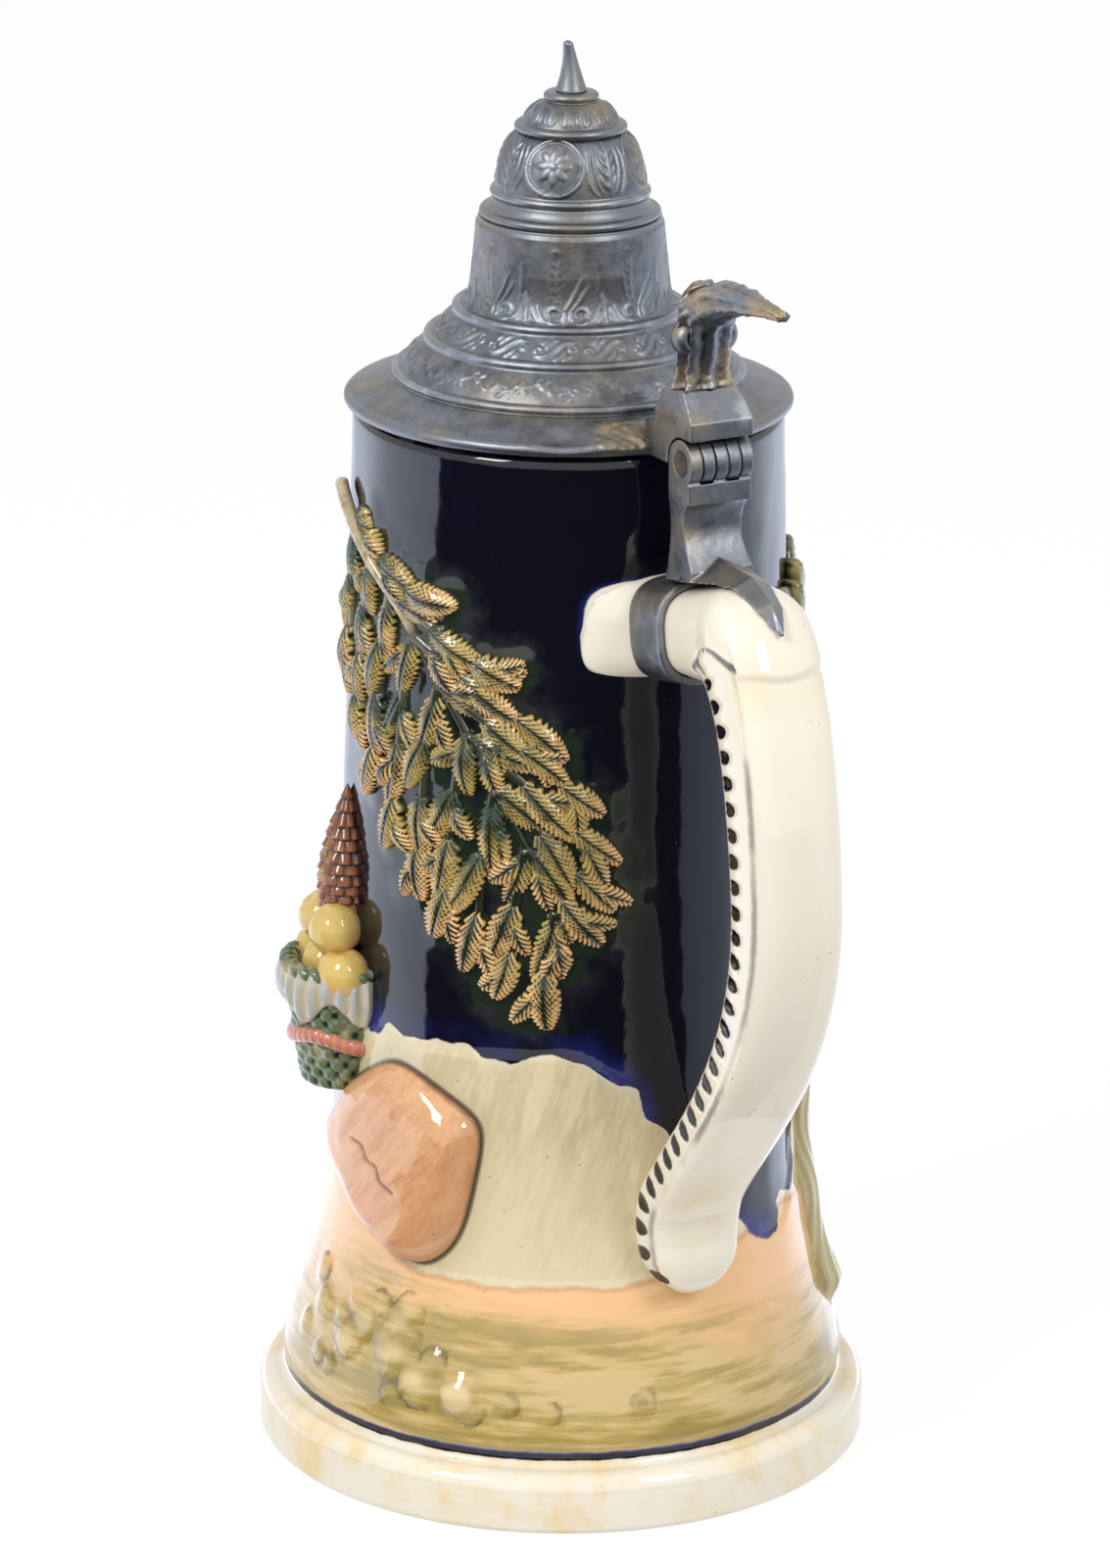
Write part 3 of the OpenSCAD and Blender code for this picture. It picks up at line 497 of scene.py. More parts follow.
def boulder_reach(ray):
    """Distance from the boulder's middle to its outline along a ray.

    The distances to its straight sides are joined as a smooth least, by the tenth power of their inverses."""
    r = settings("relief")
    inset = 2 * r.boulder_out
    corner = np.array(BOULDER_CORNERS) * [r.boulder_width - inset, r.boulder_height - inset]
    edge = np.roll(corner, -1, 0) - corner
    normal = unit(np.stack([edge[:, 1], -edge[:, 0]], -1))
    offset = (normal * corner).sum(1) + r.boulder_out
    toward = np.cos(ray)[..., None] * normal[:, 0] + np.sin(ray)[..., None] * normal[:, 1]
    inverse = np.maximum(toward, 1e-3) / offset
    return (inverse ** 10).sum(-1) ** -0.1


def boulder_gap(across, up):
    """Distance outside the boulder's outline, along the ray from its middle."""
    return np.hypot(across, up) - boulder_reach(np.arctan2(up, across))


def boulder_place(turn, z):
    """Distance across and up from the boulder's middle to a place on the wall."""
    r = settings("relief")
    return turn_gap(turn, r.boulder_turn) * wall_radius(r.boulder_height_at), z - r.boulder_height_at


def bough_at(s):
    """Turn and height of the bough's stem from its root at 0 to its tip at 1: it falls ever faster."""
    r, v = settings("relief"), settings("vessel")
    root = v.body_height - r.bough_drop
    return (r.bough_from + (r.bough_to - r.bough_from) * s ** 0.85,
            root + (r.bough_tip_height - root) * (0.45 * s + 0.55 * s * s))


# Shader nodes

class Shade:
    """Short ways to add and link nodes in one tree."""

    def __init__(self, tree):
        self.tree = tree

    def feed(self, socket, value):
        """Link a socket, or set a plain value."""
        if isinstance(value, bpy.types.NodeSocket):
            self.tree.links.new(value, socket)
        elif socket.type == "RGBA":
            socket.default_value = (*value[:3], 1.0)
        else:
            socket.default_value = value

    def fill(self, node, inputs):
        """Feed several inputs of a node by their names."""
        for name, value in inputs.items():
            self.feed(node.inputs[name], value)

    def add(self, kind, inputs=None, **options):
        """New node with its options and inputs set."""
        node = self.tree.nodes.new("ShaderNode" + kind)
        for name, value in options.items():
            setattr(node, name, value)
        self.fill(node, inputs or {})
        return node

    def math(self, operation, *values):
        """Result of a Math node."""
        node = self.add("Math", operation=operation)
        for socket, value in zip(node.inputs, values):
            self.feed(socket, value)
        return node.outputs[0]

    def times(self, a, b):
        """Product of two values."""
        return self.math("MULTIPLY", a, b)

    def plus(self, value, scale, other):
        """A value scaled and added to another."""
        return self.math("MULTIPLY_ADD", value, scale, other)

    def mix(self, factor, a, b):
        """Colour a turned into colour b by a factor."""
        node = self.add("Mix", data_type="RGBA")
        for place, value in ((0, factor), (6, a), (7, b)):
            self.feed(node.inputs[place], value)
        return node.outputs[2]

    def lay(self, ground, tint, factor, share):
        """Ground turned into a tint by a share of a factor."""
        return self.mix(self.times(factor, share), ground, tint)

    def fade(self, value, start, stop):
        """Smooth step of a value from 0 at start to 1 at stop."""
        return self.add("MapRange", {"Value": value, "From Min": start, "From Max": stop},
                        interpolation_type="SMOOTHSTEP").outputs[0]

    def noise(self, vector, scale, detail=2.0, roughness=0.5):
        """Cloudy noise, about 0.5 in the mean."""
        return self.add("TexNoise", {"Vector": vector, "Scale": scale, "Detail": detail,
                                     "Roughness": roughness}).outputs["Fac"]

    def sway(self, *cloud):
        """Cloudy noise about zero."""
        return self.math("SUBTRACT", self.noise(*cloud), 0.5)

    def spots(self, vector, scale):
        """Distance to the nearest of scattered points."""
        return self.add("TexVoronoi", {"Vector": vector, "Scale": scale}).outputs["Distance"]

    def field(self, name):
        """Named value at the surface's points."""
        return self.add("Attribute", attribute_name=name, attribute_type="GEOMETRY").outputs["Fac"]

    def place(self):
        """Object coordinates."""
        return self.add("TexCoord").outputs["Object"]

    def drawn(self, vector, lengths, turn):
        """Coordinates turned, then divided by a length on each axis, so that a pattern is drawn out."""
        return self.add("Mapping", {"Vector": vector, "Scale": lengths, "Rotation": turn},
                        vector_type="TEXTURE").outputs[0]

    def group(self, tree, **inputs):
        """Outputs of a shared group with its inputs set."""
        return self.add("Group", inputs, node_tree=tree).outputs


def shared_group(name, inputs, outputs, fill):
    """Node group of that name, made once: each input has a kind and a default."""
    tree = bpy.data.node_groups.get(name)
    if tree is None:
        tree = bpy.data.node_groups.new(name, "ShaderNodeTree")
        for label, (kind, default) in inputs.items():
            tree.interface.new_socket(label, in_out="INPUT", socket_type=kind).default_value = default
        for label, kind in outputs.items():
            tree.interface.new_socket(label, in_out="OUTPUT", socket_type=kind)
        into, out = tree.nodes.new("NodeGroupInput"), tree.nodes.new("NodeGroupOutput")
        shade = Shade(tree)
        for label, value in fill(shade, into.outputs).items():
            shade.feed(out.inputs[label], value)
    return tree


FLOAT, TINT, VECTOR = "NodeSocketFloat", "NodeSocketColor", "NodeSocketVector"
GLAZE_IOR, GLAZE_GLOSS, GLAZE_DEPTH = 1.58, 0.02, 0.25
PEWTER_GRAIN, PEWTER_DEPTH = 0.2 * MM, 0.5


def glaze_skin():
    """Fired glaze: uneven gloss, a slow ripple with fine pinholes, and stray specks."""
    def fill(n, given):
        place = n.place()
        slow = n.noise(place, 55.0, 3.0)
        fine = n.noise(place, 700.0, 2.0)
        pin = n.fade(n.spots(place, 420.0), 0.16, 0.02)
        chosen = n.fade(n.noise(place, 130.0, 1.0), 0.60, 0.66)
        specks = n.times(pin, chosen)
        height = n.plus(fine, 0.012, n.times(slow, given["Ripple"]))
        height = n.math("SUBTRACT", height, n.times(specks, 0.12))
        rough = n.plus(n.noise(place, 160.0, 4.0), 0.10, given["Gloss"])
        return {"Roughness": rough, "Height": height, "Specks": specks}
    return shared_group("Glaze Skin", {"Ripple": (FLOAT, 0.6), "Gloss": (FLOAT, 0.02)},
                        {"Roughness": FLOAT, "Height": FLOAT, "Specks": FLOAT}, fill)


def brush_marks():
    """Brushed colour: two colours laid in long strokes, with a finer streak in each stroke."""
    def fill(n, given):
        at = n.drawn(n.place(), given["Lengths"], given["Turn"])
        broad, streak = n.noise(at, 1.0, 3.0, 0.6), n.noise(at, 4.5, 3.0, 0.65)
        strokes = n.fade(n.plus(streak, 0.4, n.times(broad, 0.6)), 0.40, 0.62)
        return {"Colour": n.mix(strokes, given["Ground"], given["Stroke"]), "Strokes": strokes}
    return shared_group("Brush Marks",
                        {"Ground": (TINT, (0.5, 0.5, 0.5, 1)), "Stroke": (TINT, (0.2, 0.2, 0.2, 1)),
                         "Lengths": (VECTOR, (0.02, 0.02, 0.004)), "Turn": (VECTOR, (0, 0, 0))},
                        {"Colour": TINT, "Strokes": FLOAT}, fill)


def pewter_patina():
    """Old pewter: dark hollows, rubbed ridges, clouds of brown tarnish, ochre solder, scratches and pits."""
    def fill(n, given):
        place = n.place()
        cloud = n.noise(place, 70.0, 5.0, 0.6)
        grime = n.noise(place, 260.0, 5.0, 0.65)
        grain = n.noise(place, 1300.0, 3.0, 0.6)
        pits = n.fade(n.spots(place, 620.0), 0.20, 0.04)
        scratch = n.noise(n.drawn(place, (0.05, 0.0012, 0.03), (0.3, 0.2, 0.5)), 1.0, 2.0, 0.6)
        worn = n.plus(n.math("SUBTRACT", grime, 0.5), 0.7, given["Raised"])
        base = n.mix(n.fade(worn, 0.10, 0.50), given["Recess"], given["Metal"])
        base = n.mix(n.fade(worn, 0.62, 1.0), base, given["Bright"])
        brown = n.times(n.fade(cloud, 0.44, 0.68), given["Tarnish"])
        brown = n.math("MAXIMUM", brown, given["Solder"])
        base = n.mix(brown, base, given["Brown"])
        yellow = n.times(n.fade(grime, 0.50, 0.66), n.times(brown, 0.55))
        base = n.mix(yellow, base, given["Ochre"])
        spotted = n.times(pits, n.fade(cloud, 0.5, 0.62))
        height = n.plus(scratch, 0.25, n.times(grime, 0.6))
        height = n.plus(grain, 0.45, height)
        height = n.math("SUBTRACT", height, n.times(spotted, 0.5))
        rough = n.plus(grime, 0.26, n.plus(brown, 0.15, 0.28))
        return {"Colour": n.lay(base, given["Recess"], spotted, 0.6), "Roughness": rough, "Height": height}
    greys = dict.fromkeys(("Metal", "Recess", "Bright", "Brown", "Ochre"), (TINT, (0.2, 0.2, 0.2, 1)))
    return shared_group("Pewter Patina",
                        {"Raised": (FLOAT, 0.5), "Tarnish": (FLOAT, 0.5), "Solder": (FLOAT, 0.0), **greys},
                        {"Colour": TINT, "Roughness": FLOAT, "Height": FLOAT}, fill)


def new_material(name):
    """Material with a fresh tree, its shader and a short way to add nodes."""
    material = bpy.data.materials.new(name)
    material.use_nodes = True
    n = Shade(material.node_tree)
    return material, n, material.node_tree.nodes["Principled BSDF"]


def coat(n, shader, tint, skin, distance, strength):
    """Feed a shader with a colour, and with a skin's roughness and its height as a bump."""
    bump = n.add("Bump", {"Height": skin["Height"], "Distance": distance, "Strength": strength})
    n.fill(shader, {"Base Color": tint, "Roughness": skin["Roughness"], "Normal": bump.outputs[0]})


def glaze(name, paint, ripple_height):
    """Glossy glaze: the paint function gives the colour from the tree and the specks."""
    material, n, shader = new_material(name)
    skin = n.group(glaze_skin(), Ripple=ripple_height, Gloss=GLAZE_GLOSS)
    coat(n, shader, paint(n, skin["Specks"]), skin, MM, GLAZE_DEPTH)
    shader.inputs["IOR"].default_value = GLAZE_IOR
    return material


def pewter(name, tarnish, brown="brown"):
    """Cast pewter whose raised field lights its ridges and darkens its hollows, in one of two tarnishes."""
    c = settings("pewter")
    material, n, shader = new_material(name)
    patina = n.group(pewter_patina(), Raised=n.field("raised"), Solder=n.field("solder"), Tarnish=tarnish,
                     Metal=c.metal, Recess=c.recess, Bright=c.bright, Brown=getattr(c, brown), Ochre=c.ochre)
    coat(n, shader, patina["Colour"], patina, PEWTER_GRAIN, PEWTER_DEPTH)
    shader.inputs["Metallic"].default_value = 1.0
    return material


# Vessel

WALL_ROWS, WALL_COLUMNS, LIP_ROWS = 186, 330, 5
BAND_EDGE, GROUND_RISE, POOL_RISE, SHARP = 1.5 * MM, 0.4 * MM, 0.45 * MM, 0.25 * MM
TURF_TURN, TURF_HEIGHT, TURF_MOUNDS = -74, 33, 32
STONES = [(-50.5, 26.5, 4.6, 0.42), (-60.5, 28, 4.4, 0.36), (-57, 32, 3.6, 0.3), (-70, 35, 3.4, 0.36),
          (-40, 26, 3.2, 0.2), (-31, 24.5, 2.6, 0.3), (-12, 26.5, 3.4, 0.12)]
HILL_STROKES = (0.0, math.radians(-72), math.radians(61))
STONE_STROKES = (0.0, math.radians(-48), math.radians(14))


def vessel_outline():
    """Outline from under the foot, up the wall, over the lip and down inside.

    The count of its points below the wall comes with it."""
    v = settings("vessel")
    lip = v.wall_thickness / 2
    foot_radius = wall_radius(v.foot_height) + v.foot_out
    z = np.linspace(v.foot_height + MM, v.body_height - lip, WALL_ROWS)
    floor_radius = bore_radius(v.floor_thickness + v.floor_round)
    inner = np.linspace(v.body_height - lip, v.floor_thickness + v.floor_round, 14)
    under = np.concatenate([
        line((0, 0), (foot_radius - v.foot_edge, 0), 7),
        arc((foot_radius - v.foot_edge, v.foot_edge), v.foot_edge, -90, 0, 7),
        arc((foot_radius - v.foot_round, v.foot_height - v.foot_round), v.foot_round, 0, 90, 12)])
    corner = floor_radius - v.floor_round
    over = [arc((v.rim_radius - lip, v.body_height - lip), lip, 0, 180, 11)[1:],
            np.stack([bore_radius(inner), inner], -1)[1:],
            arc((corner, v.floor_thickness + v.floor_round), v.floor_round, 0, -90, 8)[1:],
            line((corner, v.floor_thickness), (0, v.floor_thickness), 6)[1:]]
    under = under[fresh(under)]
    return np.concatenate([under, np.stack([wall_radius(z), z], -1)] + over), len(under)


def ground_lumps(turn, z):
    """Turf below the boulder: low mounds at seeded places about one spot, and a few round stones."""
    rng = np.random.default_rng(11)
    height = np.zeros(np.broadcast(turn, z).shape)
    places = [(TURF_TURN + 13 * rng.normal(), TURF_HEIGHT + 5 * rng.normal(), rng.uniform(2.6, 4.6), 0.3)
              for _ in range(TURF_MOUNDS)]
    for degrees, up, size, steep in places + STONES:
        across = turn_gap(turn, math.radians(degrees)) * wall_radius(up * MM)
        inside = np.clip(1 - (across ** 2 + (z - up * MM) ** 2) / (size * MM) ** 2, 0, 1)
        height = np.maximum(height, steep * size * MM * inside ** 0.8)
    return height


def build_vessel():
    """Turned body that rises over the hill, the ground and its stones, with the bands' edges as fields."""
    v, h = settings("vessel"), settings("handle")
    outline, first = vessel_outline()
    points, turn = lathe(outline, WALL_COLUMNS)
    z = points[..., 2]
    rows = np.arange(len(outline))[:, None]
    outside = (rows >= first) & (rows < first + WALL_ROWS)
    above_hill, above_ground = z - hill_top(turn), z - ground_top(turn)
    near_boulder, near_bough = boulder_gap(*boulder_place(turn, z)), bough_gap(turn, z)
    lumps = np.where(outside, ground_lumps(turn, z), 0)
    on_hill, on_ground = (ease(-above / BAND_EDGE + 0.5) for above in (above_hill, above_ground))
    rise = v.hill_rise * on_hill + GROUND_RISE * on_ground
    rise = rise * ease((z - v.foot_height - MM) / (5 * MM)) + lumps
    rise = rise + POOL_RISE * ease(1.2 - near_bough / (5 * MM))
    uneven = 0.16 * ripple(points, 24 * MM, 3) + 0.05 * ripple(points, 8 * MM, 4)
    rise += MM * uneven * ease((v.body_height - 6 * MM - z) / (8 * MM))
    out = np.where(outside, rise, 0)[..., None]
    radial = np.stack([np.cos(turn), np.sin(turn), 0 * turn], -1)
    points = points + out * radial
    arm = v.body_height - h.arm_drop - 0.3 * h.arm_rise
    root = (np.abs(turn_gap(turn, 0.0) * v.rim_radius / h.root_half_width) ** 4
            + np.abs((z - arm) / h.arm_half_height) ** 4) ** (1 / 4)
    turf = near_turn(turn, -68, 36) * swell((z - 31 * MM) / (15 * MM))
    inside = rows >= first + WALL_ROWS + LIP_ROWS
    surface = Surface(points, above_hill=above_hill, above_ground=above_ground, boulder_gap=near_boulder,
                      bough_gap=near_bough, root_gap=(root - 1) * 11 * MM, inside=inside,
                      lump=lumps / MM, turf=turf)
    return make_piece("body_glazed", [surface], wall_glaze(), "tankard", "cobalt_glaze", "vessel")


def bough_gap(turn, z):
    """Distance from a place on the wall to the nearest frond."""
    base_turn, base_z, heading, size = bough_fronds()[:4]
    along = np.array([0.25, 0.55, 0.85])[:, None]
    frond_turn, frond_z = stray(base_turn, base_z, heading, along * size)
    gap = np.full(np.broadcast(turn, z).shape, 1.0)
    for a, b in zip(frond_turn.ravel(), frond_z.ravel()):
        gap = np.minimum(gap, (turn_gap(turn, a) * settings("vessel").rim_radius) ** 2 + (z - b) ** 2)
    return np.sqrt(gap)


def ground_paint(n, height, cloud):
    """Peach that turns to olive towards the foot in long level strokes, with dark crevices in the turf,
    painted shade round the foot of each lump and stone, and a painted highlight on their tops.
    """
    c = settings("glaze")
    place = n.place()
    marks = n.group(brush_marks(), Ground=c.peach, Stroke=c.olive, Lengths=(0.06, 0.06, 0.007))
    low = n.plus(n.math("SUBTRACT", cloud, 0.5), 1.5, n.fade(height, 0.056, 0.026))
    low = n.plus(n.math("SUBTRACT", marks["Strokes"], 0.5), 0.4, low)
    ground = n.mix(n.fade(low, 0.0, 0.95), c.peach, c.olive)
    streak = n.times(n.fade(marks["Strokes"], 0.45, 1.0), n.fade(low, 0.35, 0.9))
    ground = n.lay(ground, (0.25, 0.20, 0.055), streak, 0.5)
    pale = n.times(n.fade(marks["Strokes"], 0.55, 0.05), n.fade(low, 0.3, 0.8))
    ground = n.lay(ground, (0.82, 0.62, 0.33), pale, 0.4)
    turf = n.field("turf")
    moss = n.times(n.fade(n.noise(place, 75.0, 3.0), 0.42, 0.62), n.fade(turf, 0.15, 0.7))
    ground = n.lay(ground, (0.34, 0.28, 0.09), moss, 0.75)
    wander = n.math("ABSOLUTE", n.sway(place, 95.0, 3.0, 0.55))
    crevice = n.times(n.fade(wander, 0.07, 0.0), n.fade(turf, 0.25, 0.75))
    crevice = n.times(crevice, n.fade(n.noise(place, 60.0, 2.0), 0.46, 0.60))
    lump = n.field("lump")
    # painted shade: the low slopes round the foot of each lump and stone are darkened, in patches
    under = n.times(n.fade(lump, 0.02, 0.25), n.fade(lump, 0.8, 0.3))
    under = n.times(under, n.fade(n.noise(place, 130.0, 3.0), 0.42, 0.62))
    ground = n.lay(ground, (0.15, 0.105, 0.04), n.math("MAXIMUM", crevice, under), 0.85)
    # painted highlight: the tops of the lumps and stones are laid paler peach
    return n.lay(ground, (0.86, 0.66, 0.38), n.fade(lump, 0.8, 1.6), 0.6)


def hill_paint(n, hill_edge, cloud):
    """Pale hill in slanting strokes with a pale crest, darker round the boulder."""
    c = settings("glaze")
    strokes = n.group(brush_marks(), Ground=c.hill, Stroke=c.hill_dark, Lengths=(0.03, 0.006, 0.006),
                      Turn=HILL_STROKES)["Colour"]
    hill = n.mix(n.fade(cloud, 0.25, 0.65), c.hill, strokes)
    hill = n.lay(hill, (0.74, 0.69, 0.54), n.fade(hill_edge, -2.5 * MM, -0.1 * MM), 0.55)
    return n.lay(hill, c.hill_dark, n.fade(n.field("boulder_gap"), 7 * MM, 0.5 * MM), 0.5)


def cobalt_paint(n, hill_edge, ragged):
    """Near-black cobalt, blue where it runs thin over the hill, with green pools and haze by the boughs."""
    c = settings("glaze")
    place = n.place()
    thin = n.times(n.fade(hill_edge, 8.0 * MM, 0.0), n.fade(n.noise(place, 42.0, 2.0), 0.42, 0.66))
    wash = n.times(n.fade(n.noise(place, 34.0, 3.0), 0.60, 0.80), 0.07)
    cobalt = n.mix(n.math("MAXIMUM", thin, wash), c.cobalt, c.cobalt_thin)
    near = n.plus(ragged, 5 * MM, n.field("bough_gap"))
    haze = n.times(n.fade(near, 9.0 * MM, 3.0 * MM), n.fade(n.noise(place, 60.0, 4.0, 0.7), 0.34, 0.70))
    cobalt = n.lay(cobalt, (0.042, 0.045, 0.045), haze, 0.8)
    return n.mix(n.fade(near, 4.5 * MM, 2.5 * MM), cobalt, (0.015, 0.025, 0.014))


def wall_glaze():
    """Cobalt over a brushed hill and ground, with ragged edges, a blue line and a cream foot and inside."""
    c, v = settings("glaze"), settings("vessel")

    def paint(n, specks):
        place = n.place()
        height = n.add("SeparateXYZ", {"Vector": place}).outputs["Z"]
        ragged = n.sway(place, 130.0, 3.0, 0.6)
        lobes = n.plus(n.sway(place, 85.0, 1.0, 0.4), 15 * MM, n.field("above_hill"))
        hill_edge = n.plus(ragged, 3.5 * MM, lobes)
        ground_edge = n.plus(ragged, 3 * MM, n.field("above_ground"))
        cloud = n.noise(place, 26.0, 4.0, 0.6)
        mottle = n.mix(n.fade(n.noise(place, 60.0, 5.0, 0.7), 0.42, 0.70), c.cream, c.cream_warm)
        ground, hill = ground_paint(n, height, cloud), hill_paint(n, hill_edge, cloud)
        paint = n.mix(n.fade(ground_edge, -SHARP, SHARP), ground, hill)
        seam = n.times(n.fade(ground_edge, -1.0 * MM, 0.0), n.fade(ground_edge, 0.9 * MM, 0.1 * MM))
        paint = n.lay(paint, c.stone_dark, seam, 0.6)
        paint = n.mix(n.fade(hill_edge, -SHARP, SHARP), paint, cobalt_paint(n, hill_edge, ragged))
        paint = n.lay(paint, (0.10, 0.06, 0.035), n.fade(n.field("boulder_gap"), 0.9 * MM, 0.2 * MM), 0.8)
        root = n.plus(ragged, 0.9 * MM, n.field("root_gap"))
        paint = n.lay(paint, c.cobalt_thin, n.fade(root, 1.7 * MM, 1.0 * MM), 0.3)
        paint = n.mix(n.fade(root, 0.9 * MM, 0.5 * MM), paint, c.cream)
        edge = n.plus(n.sway(place, 240.0, 3.0), 0.8 * MM, height)
        for start, stop, tint in ((1.3, 0.9, c.cobalt_thin), (0.9, 0.5, c.cobalt), (-0.6, -1.0, mottle)):
            paint = n.mix(n.fade(edge, v.line_height + start * MM, v.line_height + stop * MM), paint, tint)
        paint = n.mix(n.field("inside"), paint, mottle)
        return n.lay(paint, c.ink, specks, 0.5)
    return glaze("cobalt_wall_glaze", paint, 0.9)


# Handle

HANDLE_ROWS, HANDLE_COLUMNS = 470, 128
COLLAR_U, SHOULDER_U, WAIST_U, LOW_U, END_U, CAP_U = 1.5, 1.12, 2.0, 2.7, 4.0, 3.45
DOTS_FROM_U, DOTS_TO_U = 1.30, 3.80
ROOT_FLARE, ROOT_REACH = 1.6 * MM, 5 * MM
COLLAR_STEP_U, COLLAR_SLANT, COLLAR_LEG, COLLAR_STEP = 0.99, 14.2 * MM, 4.5 * MM, 0.8 * MM


def handle_controls():
    """Control points, x and z, of the handle's four cubic pieces: arm, bend, fall and lower root."""
    v, h = settings("vessel"), settings("handle")
    arm_z = v.body_height - h.arm_drop
    arm_x = wall_radius(arm_z)
    bite = h.root_half_width ** 2 / (2 * arm_x) + v.key_depth
    start = np.array([arm_x - bite, arm_z - h.arm_rise / 2])
    end = np.array([arm_x + h.arm_length, arm_z + h.arm_rise / 2])
    grip = np.array([v.rim_radius + h.grip_reach, v.body_height - h.grip_drop])
    low_z = h.low_root_height + h.low_root_length
    low = np.array([wall_radius(low_z) + h.low_root_half + v.key_depth, low_z])
    tip = np.array([wall_radius(h.low_root_height) + h.low_root_half - v.key_depth, h.low_root_height])
    slope = np.array([1, (end - start)[1] / (end - start)[0]])
    bend, fall = np.array([-2, 26]) * MM, np.array([-2 * 34 / 26, 34]) * MM
    return np.array([[start, start + (end - start) / 3, end - (end - start) / 3, end],
                     [end, end + 9 * MM * slope, grip + bend, grip],
                     [grip, grip - fall, low + np.array([14, 19]) * MM, low],
                     [low, low - np.array([5, 8]) * MM, tip + np.array([0, 8]) * MM, tip]])


def handle_path(u):
    """Point and unit tangent of the centre line: a cubic for each unit of u."""
    piece = np.clip(u.astype(int), 0, 3)
    t = (u - piece)[:, None]
    a, b, c, d = np.moveaxis(handle_controls()[piece], 1, 0)
    slope = (1 - t) ** 2 * (b - a) + 2 * (1 - t) * t * (c - b) + t * t * (d - c)
    return cubic(t, a, b, c, d), unit(slope)


def strap_span():
    """Where the strap begins and ends along the path."""
    h = settings("handle")
    start, end = handle_controls()[0][[0, 3]]
    wall = wall_radius(settings("vessel").body_height - h.arm_drop)
    first = (wall + h.strap_from_wall - start[0]) / (end - start)[0]
    return first, first + h.strap_width / np.linalg.norm(end - start)


def handle_section(u):
    """Half width, half thickness and squareness of the section along the path, closing at the lower tip."""
    h = settings("handle")
    first, last = strap_span()
    close = np.sqrt(np.clip(1 - (np.clip(u - CAP_U, 0, None) / (END_U - CAP_U)) ** 2, 0.004, 1))
    width = np.interp(u, [0, first, 1, SHOULDER_U, COLLAR_U, END_U],
                      [h.root_half_width, h.arm_half_width, h.arm_half_width, h.arm_half_width + 0.5 * MM,
                       h.grip_half_width, h.grip_half_width])
    blur = u + np.linspace(-0.2, 0.2, 9)[:, None] * ease((u - 1.5) / 0.4)
    thick = np.interp(blur, [0, last, 1, SHOULDER_U, COLLAR_U, WAIST_U, LOW_U, END_U],
                      [h.arm_half_height, h.arm_half_height, h.shoulder_half, h.shoulder_half,
                       h.grip_half + 0.5 * MM, h.grip_half, h.low_root_half, h.low_root_half]).mean(0)
    square = np.interp(u, [0, first, 1, COLLAR_U, END_U], [4.6, 3.2, 2.6, 3.7, 3.4])
    return width * close, thick * close, square


def handle_rings(u, grow, around):
    """Rounded-square rings about the path, and each point's distance across and out from the centre line.

    Across is w sgn(cos) |cos|^(2/n), and out is t sgn(sin) |sin|^(2/n)."""
    point, tangent = handle_path(u)
    width, thick, square = handle_section(u)
    exponent = (2 / square)[:, None]
    across = (width + grow)[:, None] * power(np.cos(around), exponent)
    out = (thick + grow)[:, None] * power(np.sin(around), exponent)
    flat = point[:, None] + left_of(tangent)[:, None] * out[..., None]
    return np.stack([flat[..., 0], across, flat[..., 1]], -1), across, out


def moving_mean(rings, half):
    """Mean of each ring and its neighbours on both sides."""
    total = np.cumsum(np.pad(rings, [(half + 1, half), (0, 0), (0, 0)], "edge"), 0)
    return (total[2 * half + 1:] - total[:-2 * half - 1]) / (2 * half + 1)


